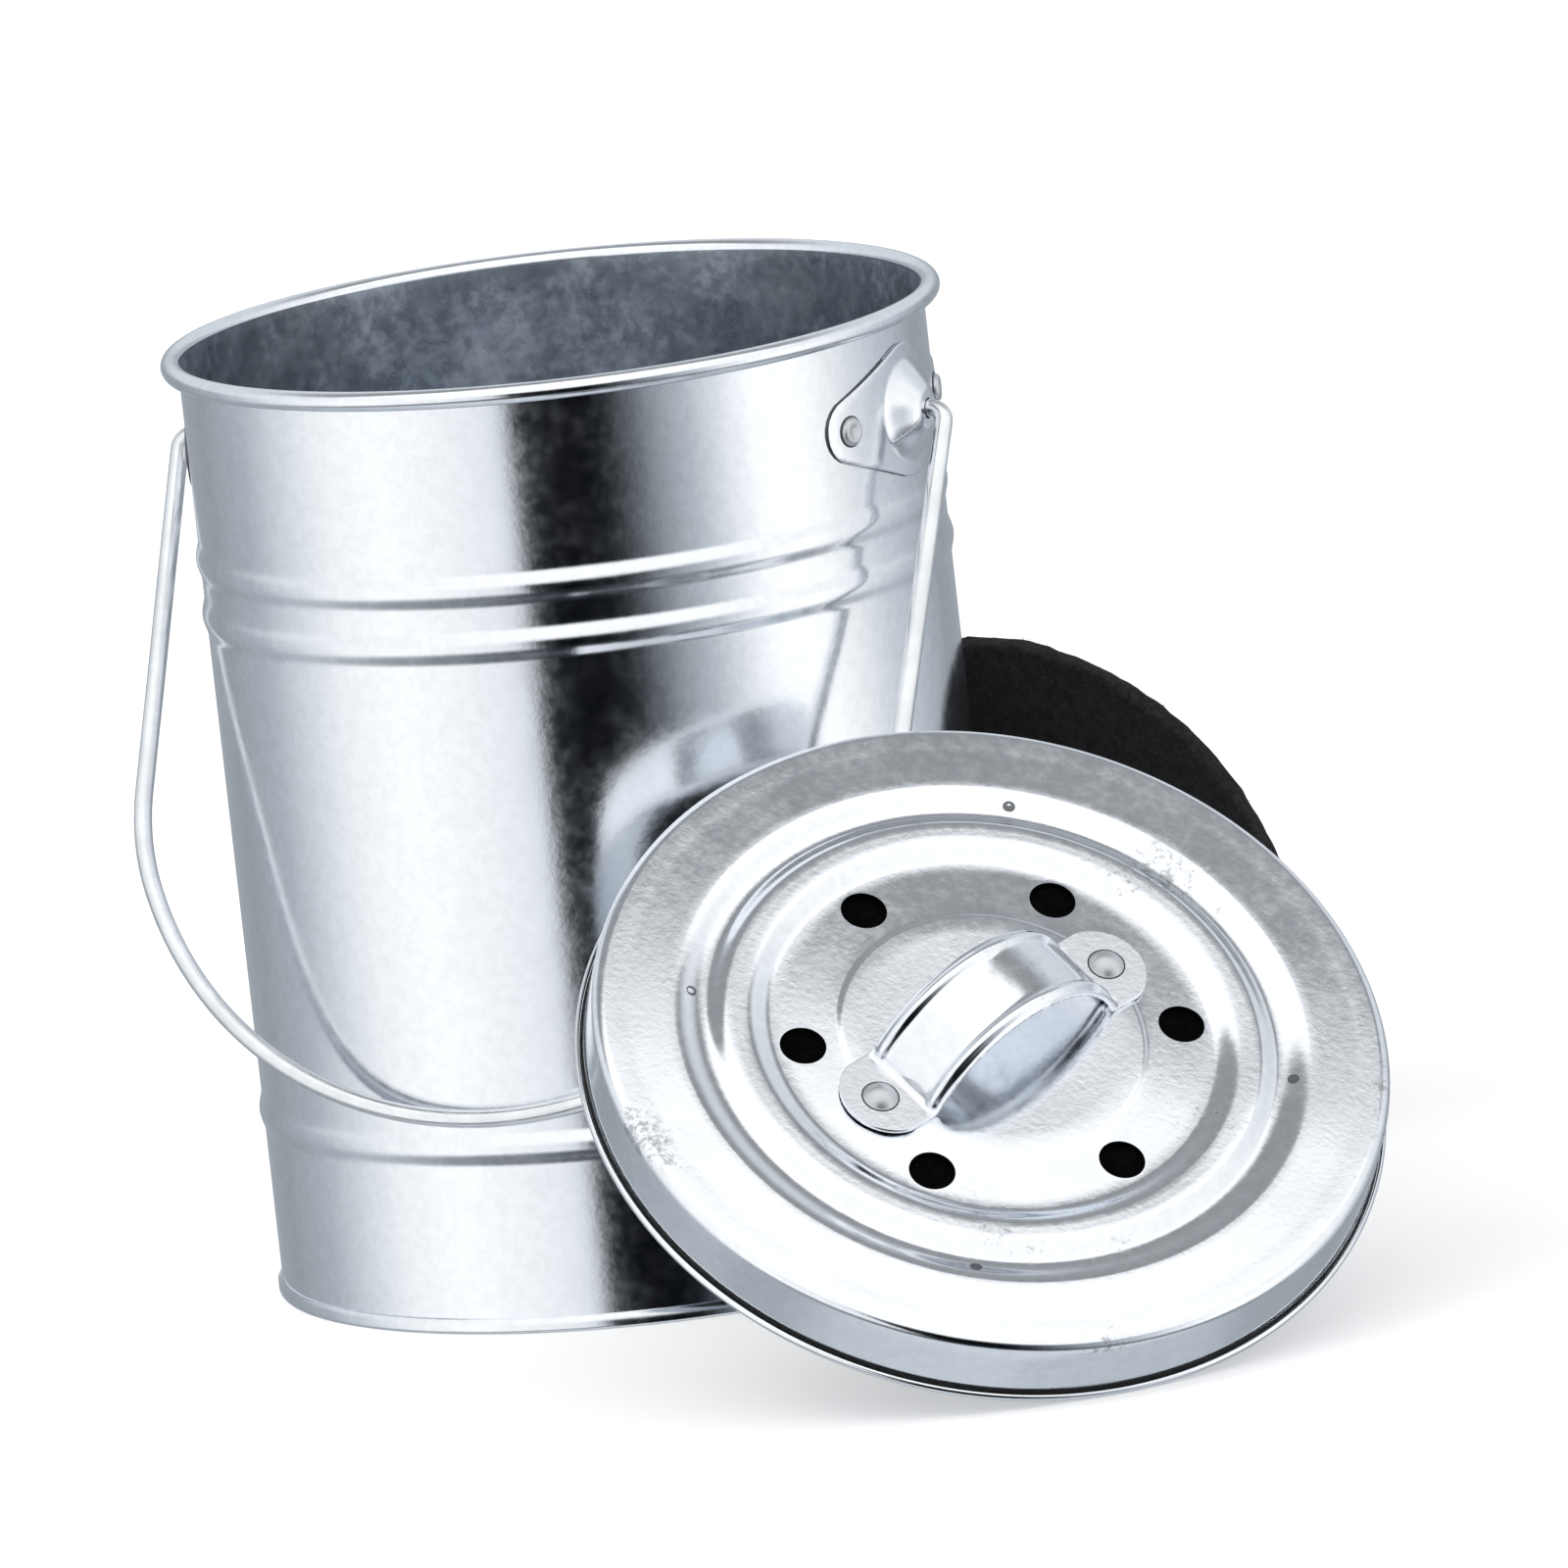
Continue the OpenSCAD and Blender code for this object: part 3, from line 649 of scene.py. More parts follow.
def black_felt(name, colour, glance=1.0):
    """Needled felt; glance is its share of the light it throws back at a low angle."""
    mat, t = material(name)
    clump = noise_at(t, 320, detail=4, rough=0.65, distortion=0.8)
    fine = noise_at(t, 1500, detail=3, rough=0.7)
    tuft = spread(t, t.calculate("ADD", clump, fine), 0.75, 1.3, 0, 1)
    t.feed(t.shader["Base Color"], blend(t, tuft, *tints(colour, 0.45, 1.9)))
    t.feed(t.shader["Roughness"], spread(t, fine, 0.2, 0.8, 0.86, 1.0))
    t.feed(t.shader["Specular IOR Level"], 0.18 * glance)
    t.feed(t.shader["Sheen Weight"], 0.06 * glance)
    t.feed(t.shader["Sheen Roughness"], 0.5)
    bumps(t, [(clump, 0.0006), (fine, 0.00025)])
    return mat


def finish(name):
    """The named finish, made once."""
    if name in bpy.data.materials:
        return bpy.data.materials[name]
    s = bpy.context.scene.caddy_finish
    felt = bpy.context.scene.caddy_filter.colour
    plate = (lid_up(), lid_up().dot(lid_matrix().translation))
    patched = {"patches": 0.75, "above": plate}
    shade, scar = ([c * share for c in s.steel] for share in (SEAM_SHADE, WELD_SHADE))
    makers = {
        "bright_sheet": (sheet_steel, s.steel, {"gloss": s.gloss}),
        # The inside: a rougher copy of the sheet in a darker colour, the darker colour being painted shade
        "dull_inside": (sheet_steel, s.inside, {"gloss": 0.3, "dull": 0.2, "waves": 0.00008, "blotch": 0.26}),
        "lid_sheet": (sheet_steel, s.steel, {"gloss": 0.105, "dull": 0.09, "waves": 0.00004, **patched}),
        "strap_sheet": (sheet_steel, s.steel, {"gloss": 0.13, "patches": 0.25}),
        "ear_sheet": (sheet_steel, s.steel, {"gloss": 0.14, "patches": 0.2}),
        "rivet_steel": (sheet_steel, s.wire, {"gloss": 0.13, "dull": 0.08, "waves": 0.00002}),
        "seam_shade": (sheet_steel, shade, {"gloss": 0.5, "dull": 0.2}),
        "weld_scar": (sheet_steel, scar, {"gloss": 0.42, "dull": 0.2}),
        "bright_wire": (drawn_wire, s.wire, {"gloss": 0.2}),
        "black_felt": (black_felt, felt, {}),
        "shaded_felt": (black_felt, [c * FELT_SHADE for c in felt], {"glance": 0.1}),
    }
    maker, colour, values = makers[name]
    return maker(name, colour, **values)


def second_finish(ob, name, chosen):
    """Gives the named finish to the faces that a test picks."""
    ob.data.materials.append(finish(name))
    for p in ob.data.polygons:
        if chosen(p):
            p.material_index = len(ob.data.materials) - 1


def only_finish(ob, name):
    """Gives a piece the named finish in place of any other."""
    ob.data.materials.clear()
    ob.data.materials.append(finish(name))


# ---------------------------------------------------------------- the bucket

# Gap under the wall's lower edge, the longest straight step up the wall, and the steps over half a bead
WALL_GAP = 0.0005
WALL_STEP = 0.006
BEAD_STEPS = 12
# The wall's faint waves: their fineness, and the drop below the rim and the spread over which they fade out
WAVE_FINENESS = 22
WAVE_END = 0.006
WAVE_FADE = 0.02
# The lap at the back: half its angle and the steps over it, how far it stands out as a share of the sheet,
# and its foot's height
LAP_HALF = math.radians(2.35)
LAP_STEPS = 3
LAP_OUT = 0.55
LAP_FOOT = 0.0042
# The bottom pan: its height, its flat middle, its raised ring's rise and flanks, and its corner and fold
PAN_LIFT = 0.006
PAN_FLAT = 0.04
PAN_RING_RISE = 0.0008
PAN_RING_IN = (0.0585, 0.061)
PAN_RING_OUT = (0.0628, 0.0654)
PAN_CORNER = 0.0015
PAN_FOLD = 0.0006
# Gap between the pan and the wall's inside
PAN_GAP = 0.00005
# The pan's hem: how far it stands out of the wall, its height, its slanting lip, and the gap at its top edge
HEM_OUT = 0.0011
HEM_TOP = 0.0036
HEM_LIP = 0.0012
HEM_TUCK = 0.00035
# Steps round the pan
PAN_STEPS = 160


def wall_line(s, shift=0.0, low=None):
    """Middle line of the wall, from its lower edge up, with its beads."""
    middle = s.wall_radius - s.sheet / 2 + shift
    low = s.sheet + WALL_GAP if low is None else low
    high = s.height - s.curl
    points, at = [(middle, low)], low
    for b in s.beads:
        foot = b - s.bead_half
        points += straight((middle, at), (middle, foot), max(2, int((foot - at) / WALL_STEP)))
        for k in range(-BEAD_STEPS, BEAD_STEPS + 1):
            out = s.bead_out * (1 + math.cos(math.pi * k / BEAD_STEPS)) / 2
            points.append((middle + out, b + s.bead_half * k / BEAD_STEPS))
        at = b + s.bead_half
    points += straight((middle, at), (middle, high), max(2, int((high - at) / WALL_STEP)))
    return tidy_path(points)


def bucket_shell(s):
    """The wall with its beads and its curled rim, and its faint waves."""
    middle = s.wall_radius - s.sheet / 2
    curl = (s.curl - s.sheet) / 2
    rim = arc(middle + curl, s.height - s.curl / 2, curl, 180, -130, 36)
    outline = sheet_outline(wall_line(s) + rim, s.sheet)
    shell = turned("bucket_shell", outline, s.steps, "bright_sheet")
    for v in shell.data.vertices:
        r = axis_distance(v.co)
        fade = held((s.height - WAVE_END - v.co.z) / WAVE_FADE)
        push = noise.noise(v.co * WAVE_FINENESS) * s.waviness * fade
        v.co.x += v.co.x / r * push
        v.co.y += v.co.y / r * push
    finish_mesh(shell.data, sharp=42)

    def inside(p):
        facing_in = p.normal.x * p.center.x + p.normal.y * p.center.y < 0
        # The sheet's inner side lies nearer to the axis than this, also in a bead's hollow
        near = axis_distance(p.center) < s.wall_radius + s.bead_out - s.sheet * 0.7
        return facing_in and near and p.center.z < s.height - s.curl / 2

    # The inner faces take the rougher, darker inside finish: painted shade
    second_finish(shell, "dull_inside", inside)
    return shell


def bucket_lap(s):
    """The strip where the wall's sheet laps over itself at the back."""
    loop = sheet_outline(wall_line(s, s.sheet * LAP_OUT, LAP_FOOT), s.sheet)
    angles = [math.pi / 2 + LAP_HALF * k / LAP_STEPS for k in range(-LAP_STEPS, LAP_STEPS + 1)]
    rows = [[(r * math.cos(a), r * math.sin(a), z) for r, z in loop] for a in angles]
    lap = add_object("bucket_lap", grid_mesh("bucket_lap", rows, True))
    bm = bmesh.new()
    bm.from_mesh(lap.data)
    bmesh.ops.holes_fill(bm, edges=[e for e in bm.edges if e.is_boundary], sides=0)
    bm.to_mesh(lap.data)
    bm.free()
    finish_mesh(lap.data, sharp=30)
    only_finish(lap, "bright_sheet")
    return lap


def bucket_pan(s):
    """The recessed bottom with its raised ring and its rolled hem round the wall's foot."""
    t = s.sheet
    inside = s.wall_radius - t * 1.5 - PAN_GAP
    outside = s.wall_radius + HEM_OUT - t / 2
    ring_top = PAN_LIFT + PAN_RING_RISE
    path = straight((0, PAN_LIFT), (PAN_FLAT, PAN_LIFT), 2)
    path += ramp((PAN_RING_IN[0], PAN_LIFT), (PAN_RING_IN[1], ring_top), 6)
    path += ramp((PAN_RING_OUT[0], ring_top), (PAN_RING_OUT[1], PAN_LIFT), 6)
    path += arc(inside - PAN_CORNER, PAN_LIFT - PAN_CORNER, PAN_CORNER, 90, 0, 8)
    path += arc(inside + PAN_FOLD, t / 2 + PAN_FOLD, PAN_FOLD, 180, 270, 6)
    path += arc(outside - PAN_FOLD, t / 2 + PAN_FOLD, PAN_FOLD, 270, 360, 6)
    path += [(outside, HEM_TOP - HEM_LIP), (s.wall_radius + HEM_TUCK, HEM_TOP - t / 2)]
    pan = turned("bucket_pan", sheet_outline(path, t), PAN_STEPS, "bright_sheet")
    finish_mesh(pan.data, sharp=50)
    # The pan's upper face inside the bucket takes the same rougher finish, darkened as painted shade
    second_finish(pan, "dull_inside", lambda p: p.normal.z > 0.3 and axis_distance(p.center) < inside)
    return pan


class CADDY_OT_bucket(bpy.types.Operator):
    """Make the bucket's wall with its beads and curled rim, its lap and its bottom pan"""

    bl_idname = "caddy.bucket"
    bl_label = "Bucket"

    def execute(self, context):
        s = context.scene.caddy_bucket
        settle(bucket_shell(s), "bucket", STEEL, "body_shell")
        settle(bucket_lap(s), "bucket", STEEL)
        settle(bucket_pan(s), "bucket", STEEL, "base_pan")
        return {"FINISHED"}


# ---------------------------------------------------------------- the ears

# Millimetres in a metre
PER_METRE = 1000
# The ears in millimetres: the radius of their round middle, and of their ends round the rivets
EAR_MIDDLE = 15.5
EAR_END = 7.5
# The boss's foot, the width of its flank and the rings of its mesh, the last of which starts the flat plate
BOSS_FOOT = 12.0
BOSS_FLANK = 7.8
BOSS_RINGS = (2.35, 2.8, 3.4, 3.9, 4.3, 4.9, 5.6, 6.4, 7.3, 8.2, 9.1, 10.0, 10.8, 11.5, 12.0, 12.6)
# The edge bends towards the wall by this much, in millimetres, over this last share of the way out
EDGE_DROP = 0.25
EDGE_BAND = 0.15
# Directions in which the edge's hull is measured, and the least share of a reach that counts
HULL_DIRECTIONS = 720
LEAST_SHARE = 0.02
# Distance from the pivot past which the cut edge is shaded, in millimetres
EDGE_SHADE = 13.3
# Steps round an ear, and steps from the boss out to the edge
EAR_STEPS = 112
PLATE_STEPS = 7


def ear_edge(s, angle):
    """Distance from the pivot to the ear's edge in a direction: the hull of its middle and its two ends."""
    distances = []
    for k in range(HULL_DIRECTIONS):
        facing = math.radians(k * 360 / HULL_DIRECTIONS)
        share = math.cos(angle - facing)
        if share > LEAST_SHARE:
            reach = max(EAR_MIDDLE, s.rivet_arc * PER_METRE * abs(math.cos(facing)) + EAR_END)
            distances.append(reach / share)
    return min(distances)


def boss_height(s, r):
    """How far the boss stands out at a distance from the pivot: half a cone and half a smooth step."""
    x = held((BOSS_FOOT - r) / BOSS_FLANK)
    return s.reach * PER_METRE * (0.5 * x + 0.5 * (3 * x * x - 2 * x ** 3))


def ear_plate(s, name, side):
    """A pressed plate that follows the wall, on one side of the bucket."""
    seat, flat = s.seat * PER_METRE, BOSS_RINGS[-1]
    angles = [2 * math.pi * k / EAR_STEPS for k in range(EAR_STEPS)]
    reach = [ear_edge(s, a) for a in angles]
    # Rings at fixed distances over the boss, then at shares of the way from there to the edge
    rings = [(r, 0) for r in BOSS_RINGS] + [(0, k / PLATE_STEPS) for k in range(1, PLATE_STEPS + 1)]
    rows = []
    for r, share in rings:
        drop = 0 if r else EDGE_DROP * max(0, share - (1 - EDGE_BAND)) / EDGE_BAND
        row = []
        for a, far in zip(angles, reach):
            d = r or flat + (far - flat) * share
            out = seat + boss_height(s, d) - drop
            turn = d * math.cos(a) / seat
            z = s.pivot_z + d * math.sin(a) * MM
            row.append((side * out * math.cos(turn) * MM, out * math.sin(turn) * MM, z))
        rows.append(row)
    ob = add_object(name, grid_mesh(name, rows, True))
    finish_mesh(ob.data, sharp=60)
    if sum(p.normal.x * side for p in ob.data.polygons) < 0:
        ob.data.flip_normals()
    thicken(ob, s.plate, offset=-1, edge=0.0002)
    finish_mesh(ob.data, sharp=50)
    only_finish(ob, "ear_sheet")

    def cut_edge(p):
        out = Vector((p.center.x, p.center.y, 0)).normalized()
        far = math.hypot(p.center.y, p.center.z - s.pivot_z) > EDGE_SHADE * MM
        return far and abs(p.normal.dot(out)) < 0.45

    second_finish(ob, "seam_shade", cut_edge)
    return ob


class CADDY_OT_ears(bpy.types.Operator):
    """Make the two pressed ears that carry the bail"""

    bl_idname = "caddy.ears"
    bl_label = "Ears"

    def execute(self, context):
        s = context.scene.caddy_ears
        settle(ear_plate(s, "ear_plate_right", 1), "bucket", STEEL, "ear_right")
        settle(ear_plate(s, "ear_plate_left", -1), "bucket", STEEL, "ear_left")
        return {"FINISHED"}


# ---------------------------------------------------------------- the rivets

# Outline of an ear rivet, with its dished head, its thin flange and its tail, as (share of the head's radius,
# height in millimetres)
EAR_RIVET = [
    (0, 0.9), (0.22, 0.92), (0.42, 1.15), (0.62, 1.42), (0.78, 1.38), (0.92, 1.0), (1.0, 0.5), (1.0, 0.3),
    (1.11, 0.24), (1.11, 0.1), (0.48, -0.15), (0.48, -2.2), (0.78, -2.3), (0.8, -3.0), (0, -3.1),
]
# How deep an ear rivet's head sits in the ear's outer face
HEAD_SINK = 0.00015
# Outline of a lid rivet, with its domed head, its thin flange and its tail, drawn likewise
LID_RIVET = [
    (0, 2.5), (0.15, 2.459), (0.3, 2.335), (0.45, 2.12), (0.6, 1.797), (0.75, 1.337), (0.875, 0.8),
    (0.95, 0.37), (1.0, 0.12), (1.09, 0.08), (1.09, 0.0),
    (0.42, -0.1), (0.42, -2.0), (0.66, -2.1), (0.66, -2.7), (0, -2.8),
]
# Height above the lid's own origin at which the lid rivets' heads sit
FOOT_TOP = 0.00178
# Outline of a weld mark in millimetres, and the marks' distance from the middle, height, tilt and angles
WELD_MARK = [
    (0, 0.04), (0.5, 0.04), (0.9, 0.07), (1.2, 0.10), (1.4, 0.06), (1.5, 0.0), (1.5, -0.2), (0, -0.2),
]
WELD_RADIUS = 0.0686
WELD_HEIGHT = 0.0001
WELD_TILT = 0.31
WELD_ANGLES = (45, 135, 225, 315)


def scaled(outline, radius):
    """An outline in metres, from shares of a radius and heights in millimetres."""
    return [(x * radius, z * MM) for x, z in outline]


def ear_rivets(s):
    """The four rivets that hold the ears, each square to the wall."""
    radius = s.rivet_head / 2
    places = []
    for side in (1, -1):
        for end in (1, -1):
            turn = end * s.rivet_arc / s.seat
            out = Vector((side * math.cos(turn), math.sin(turn), 0))
            places.append((out * (s.seat - HEAD_SINK) + Vector((0, 0, s.pivot_z)), out))
    return fasteners("ear_rivets", scaled(EAR_RIVET, radius), places, "rivet_steel", radius)


def lid_rivets(s):
    """The two domed rivets that hold the strap handle."""
    radius = s.rivet_head / 2
    places = [(lid_matrix() @ Vector((side * s.pitch / 2, 0, FOOT_TOP)), lid_up()) for side in (1, -1)]
    return fasteners("lid_rivets", scaled(LID_RIVET, radius), places, "rivet_steel", radius)


def weld_marks():
    """The four marks that the filter clips' welds leave on the lid."""
    m = lid_matrix()
    places = []
    for degrees in WELD_ANGLES:
        a = math.radians(degrees)
        out = Vector((math.cos(a), math.sin(a), 0))
        tilt = (Vector((0, 0, 1)) - out * WELD_TILT).normalized()
        places.append((m @ (out * WELD_RADIUS + Vector((0, 0, WELD_HEIGHT))), m.to_3x3() @ tilt))
    return fasteners("weld_marks", scaled(WELD_MARK, MM), places, "weld_scar")


class CADDY_OT_rivets(bpy.types.Operator):
    """Make the ears' and the lid handle's rivets and the marks where the filter clips are welded"""

    bl_idname = "caddy.rivets"
    bl_label = "Rivets"

    def execute(self, context):
        ears = ear_rivets(context.scene.caddy_ears)
        right = ("ear_rivet_right_front", "ear_rivet_right_back")
        left = ("ear_rivet_left_front", "ear_rivet_left_back")
        settle(ears, "bucket", RIVET, *right, *left)
        settle(lid_rivets(context.scene.caddy_handle), "lid", RIVET, "lid_rivet_1", "lid_rivet_2")
        settle(weld_marks(), "lid", STEEL)
        return {"FINISHED"}


# ---------------------------------------------------------------- the bail

# Where the wire bends down outside the ear, the bend's radius, and how far outside the ear's inner face the
# wire's end starts
BEND_X = 0.09255
BEND_R = 0.0035
END_REACH = 0.0016
# The wire's waver: its depth and its fineness, the drop at which it starts and over which it grows, and the
# distance from the middle over which it fades out
WAVER = 0.00025
WAVER_FINENESS = 22
WAVER_FROM = 0.01
WAVER_GROWTH = 0.03
WAVER_MIDDLE = 0.02
# Place in the noise at which the waver is read
WAVER_SEED = 3.1
# Steps round the wire
WIRE_STEPS = 24
# Outline of the wire's upset end, in millimetres along the wire and out from its middle, and steps round it
UPSET = ((0, 0), (0, 2.6), (0.3, 3.1), (0.7, 3.2), (1.1, 3.1), (1.4, 2.6), (1.4, 2.0))
UPSET_STEPS = 28


def bail_line(s, head_x):
    """The bail's middle line, hanging straight down: end, bend, leg, corner and belly, mirrored."""
    ct, st = math.cos(s.taper), math.sin(s.taper)
    top = (BEND_X + BEND_R * ct, -BEND_R - BEND_R * st)
    foot = (top[0] - s.leg * st, top[1] - s.leg * ct)
    corner = (foot[0] - s.corner * ct, foot[1] + s.corner * st)
    end = s.taper + s.turn
    belly_r = s.corner + corner[0] / math.cos(end)
    belly_z = corner[1] + corner[0] * math.tan(end)
    half = [(head_x, 0), (BEND_X, 0)]
    half += arc(BEND_X, -BEND_R, BEND_R, 90, -math.degrees(s.taper), 8)[1:]
    half += straight(top, foot, 14)[1:]
    half += arc(corner[0], corner[1], s.corner, -math.degrees(s.taper), -math.degrees(end), 8)[1:]
    half += arc(0, belly_z, belly_r, -math.degrees(end), -90, 26)[1:]
    return half + [(-x, z) for x, z in half[-2::-1]]


def upset_end(side, head_x, turn):
    """The flattened button that keeps the wire's end behind its ear."""
    rows = []
    for x, w in UPSET:
        row = []
        for k in range(UPSET_STEPS):
            a = math.tau * k / UPSET_STEPS
            row.append(turn @ Vector((side * (head_x + x * MM), w * MM * math.cos(a), w * MM * math.sin(a))))
        rows.append(row)
    return grid_mesh("upset", rows, True)


def bail_loop(s, ears):
    """The bent wire with its waver and its two upset ends, hanging at its angle."""
    head_x = ears.seat - ears.plate + END_REACH
    turn = Matrix.Translation((0, 0, ears.pivot_z)) @ Matrix.Rotation(-s.lean, 4, "X")
    points = []
    for x, z in bail_line(s, head_x):
        share = held((-z - WAVER_FROM) / WAVER_GROWTH) * min(1, abs(x) / WAVER_MIDDLE)
        at = Vector((x * WAVER_FINENESS, z * WAVER_FINENESS, WAVER_SEED))
        waver = WAVER * share * noise.noise(at)
        points.append(turn @ Vector((x, waver, z)))
    ob = add_object("bail_loop", line_mesh("bail_loop", points, False))
    values = {"Radius": s.wire / 2, "Sides": WIRE_STEPS, "Finish": finish("bright_wire")}
    use_tree(ob, wire_tree(), values)
    bm = bmesh.new()
    bm.from_mesh(ob.data)
    for side in (1, -1):
        bm.from_mesh(upset_end(side, head_x, turn))
    bm.to_mesh(ob.data)
    bm.free()
    finish_mesh(ob.data, sharp=40)
    return ob


class CADDY_OT_bail(bpy.types.Operator):
    """Make the bent wire bail"""

    bl_idname = "caddy.bail"
    bl_label = "Bail"

    def execute(self, context):
        bail = bail_loop(context.scene.caddy_bail, context.scene.caddy_ears)
        settle(bail, "bail", WIRE, "bail_wire")
        return {"FINISHED"}


# ---------------------------------------------------------------- the lid

# The skirt's radius, its shoulder's radius, and the heights of its top and its foot
SKIRT = 0.09065
SHOULDER = 0.0025
SKIRT_TOP = -0.002
SKIRT_FOOT = -0.0143
# The lid's middle line in its own frame, as (radius, height), from the plain disc out to the plate's edge
DISC_IN = (0.004, 0.0005)
DISC_OUT = (0.034, 0.0005)
VENTS_IN = (0.0358, 0.00015)
VENTS_OUT = (0.0504, -0.00025)
RING_IN = (0.0564, 0.0016)
RING_OUT = (0.0605, 0.0016)
GROOVE_IN = (0.0654, -0.0006)
GROOVE_OUT = (GROOVE_IN[0] + 0.0006, GROOVE_IN[1])
PLATE_IN = (GROOVE_IN[0] + 0.0074, 0.0009)
PLATE_OUT = (SKIRT - 0.0065, 0.0005)
# The rolled hem: the heights of its neck and its middle, its radius, and the height above which it is shaded
HEM_NECK = -0.0155
HEM_MIDDLE = -0.0162
HEM_RADIUS = 0.0008
HEM_SHADE = -0.0163
# Depth of the cut for the vents
VENT_DEPTH = 0.006
# The plate's faint waves: their depth and fineness, and the radius and the width at which they fade out
LID_WAVES = 0.00006
LID_WAVE_FINENESS = 34
LID_WAVE_END = 0.088
LID_WAVE_FADE = 0.01


def lid_line():
    """Middle line of the lid's sheet, from the centre out and down to the rolled hem."""
    path = [(0, DISC_IN[1])] + straight(DISC_IN, DISC_OUT, 6) + ramp(DISC_OUT, VENTS_IN, 8)
    path += straight(VENTS_IN, VENTS_OUT, 5) + ramp(VENTS_OUT, RING_IN, 12)
    path += straight(RING_IN, RING_OUT, 3) + ramp(RING_OUT, GROOVE_IN, 12)
    path += ramp(GROOVE_OUT, PLATE_IN, 14) + straight(PLATE_IN, PLATE_OUT, 6)
    path += arc(SKIRT - SHOULDER, PLATE_OUT[1] - SHOULDER, SHOULDER, 90, 0, 12)
    path += straight((SKIRT, SKIRT_TOP), (SKIRT, SKIRT_FOOT), 5) + [(SKIRT, HEM_NECK)]
    return path + arc(SKIRT + HEM_RADIUS, HEM_MIDDLE, HEM_RADIUS, 180, 430, 24)


def lid_plate(s):
    """The lid with its rings, skirt, hem and vents, its faint waves, and the shaded groove above the hem."""
    ob = turned("lid_plate", sheet_outline(lid_line(), s.sheet), s.steps, "lid_sheet")
    finish_mesh(ob.data, sharp=60)
    sizes = {"Vents": s.vents, "Ring radius": s.vent_ring, "Vent radius": s.vent / 2, "Depth": VENT_DEPTH}
    use_tree(ob, perforated_tree(), {**sizes, "Finish": finish("lid_sheet")})
    for v in ob.data.vertices:
        r = axis_distance(v.co)
        if r < LID_WAVE_END:
            wave = noise.noise(Vector((v.co.x, v.co.y, 0)) * LID_WAVE_FINENESS)
            v.co.z += LID_WAVES * wave * min(1, (LID_WAVE_END - r) / LID_WAVE_FADE)

    def above_hem(p):
        outside = SKIRT + s.sheet * 0.4 < axis_distance(p.center) < SKIRT + HEM_RADIUS * 1.3
        return outside and HEM_SHADE < p.center.z < SKIRT_FOOT

    second_finish(ob, "seam_shade", above_hem)
    ob.data.transform(lid_matrix())
    finish_mesh(ob.data, sharp=46)
    return ob


class CADDY_OT_lid(bpy.types.Operator):
    """Make the pressed lid with its rings, skirt, hem and vents"""

    bl_idname = "caddy.lid"
    bl_label = "Lid"

    def execute(self, context):
        settle(lid_plate(context.scene.caddy_lid), "lid", STEEL, "lid_pan")
        return {"FINISHED"}


# ---------------------------------------------------------------- the handle

# Gap under the strap's feet
FOOT_GAP = 0.00005
# Distances inside a rivet at which the arch would meet the foot and at which the foot's round end is centred
FOOT_IN = 0.0077
END_IN = 0.003
# Radius of a foot's round end, and of the bend between foot and arch
END_RADIUS = 0.0115
FOOT_BEND = 0.0022
# Distances of the foot's two plain stations from its round end and from its bend
FOOT_STATIONS = (0.0008, 0.0006)
# The edge ribs' distance from the edge and their width, and the rise of the strap's crown between them
RIB_IN = 0.0023
RIB_WIDTH = 0.00105
CROWN = 0.00035
# Steps round a quarter of a foot's end and over a bend, and steps that the arch's whole turn is cut into
FOOT_STEPS = 12
BEND_STEPS = 8
ARCH_STEPS = 80
# Points of the strap nearer than this are merged, where its round ends come to a point
STRAP_MERGE = 0.00002
# Stations from one edge of the strap towards its middle, as shares of half its width
STRAP_SHARES = [
    -1, -0.985, -0.95, -0.915, -0.88, -0.85, -0.82, -0.785, -0.75, -0.715, -0.68, -0.64, -0.55, -0.3,
]


def strap_line(s, base):
    """Stations along the strap: (along, height, half width, share of the ribs' height)."""
    half = s.width / 2
    foot_x = s.pitch / 2 - FOOT_IN
    big = (foot_x ** 2 + s.arch ** 2) / (2 * s.arch)
    middle = base + s.arch - big
    start = math.asin((base - middle) / big)
    slope = math.pi / 2 - start
    end_x = s.pitch / 2 - END_IN
    line = []
    for k in range(FOOT_STEPS + 1):
        a = math.radians(90 * k / FOOT_STEPS)
        line.append((end_x + END_RADIUS * math.cos(a), base, min(half, END_RADIUS * math.sin(a)), 0.0))
    cut = FOOT_BEND * math.tan(slope / 2)
    bend_x = foot_x + cut
    plain = (end_x - FOOT_STATIONS[0], bend_x + FOOT_STATIONS[1])
    line += [(x, base, half, 0.0) for x in plain if x > bend_x]
    for k in range(BEND_STEPS + 1):
        a = slope * k / BEND_STEPS
        x, z = bend_x - FOOT_BEND * math.sin(a), base + FOOT_BEND * (1 - math.cos(a))
        line.append((x, z, half, k / BEND_STEPS))
    first = start + cut / big
    for k in range(1, ARCH_STEPS // 2):
        a = first + (math.pi - 2 * first) * k / ARCH_STEPS
        line.append((big * math.cos(a), middle + big * math.sin(a), half, 1.0))
    return line + [(0, middle + big, half, 1.0)] + [(-x, z, w, rib) for x, z, w, rib in line[::-1]]


def strap_surface(s, base):
    """The strap's middle surface, with its two ribs and its crown."""
    line = strap_line(s, base)
    half = s.width / 2
    shares = STRAP_SHARES + [0] + [-c for c in STRAP_SHARES[::-1]]
    rows = []
    for i, (x, z, w, rib) in enumerate(line):
        a, b = line[max(i - 1, 0)], line[min(i + 1, len(line) - 1)]
        d = Vector((b[0] - a[0], 0, b[1] - a[1]))
        d = d.normalized() if d.length > 0 else Vector((-1, 0, 0))
        row = []
        for c in shares:
            y = c * w
            rise = s.rib * rib * math.exp(-(((abs(y) - half + RIB_IN) / RIB_WIDTH) ** 2))
            crown = CROWN * rib * (1 - (y / half) ** 2)
            row.append(Vector((x, y, z)) + Vector((d.z, 0, -d.x)) * (rise + crown))
        rows.append(row)
    return grid_mesh("handle_strap", rows)


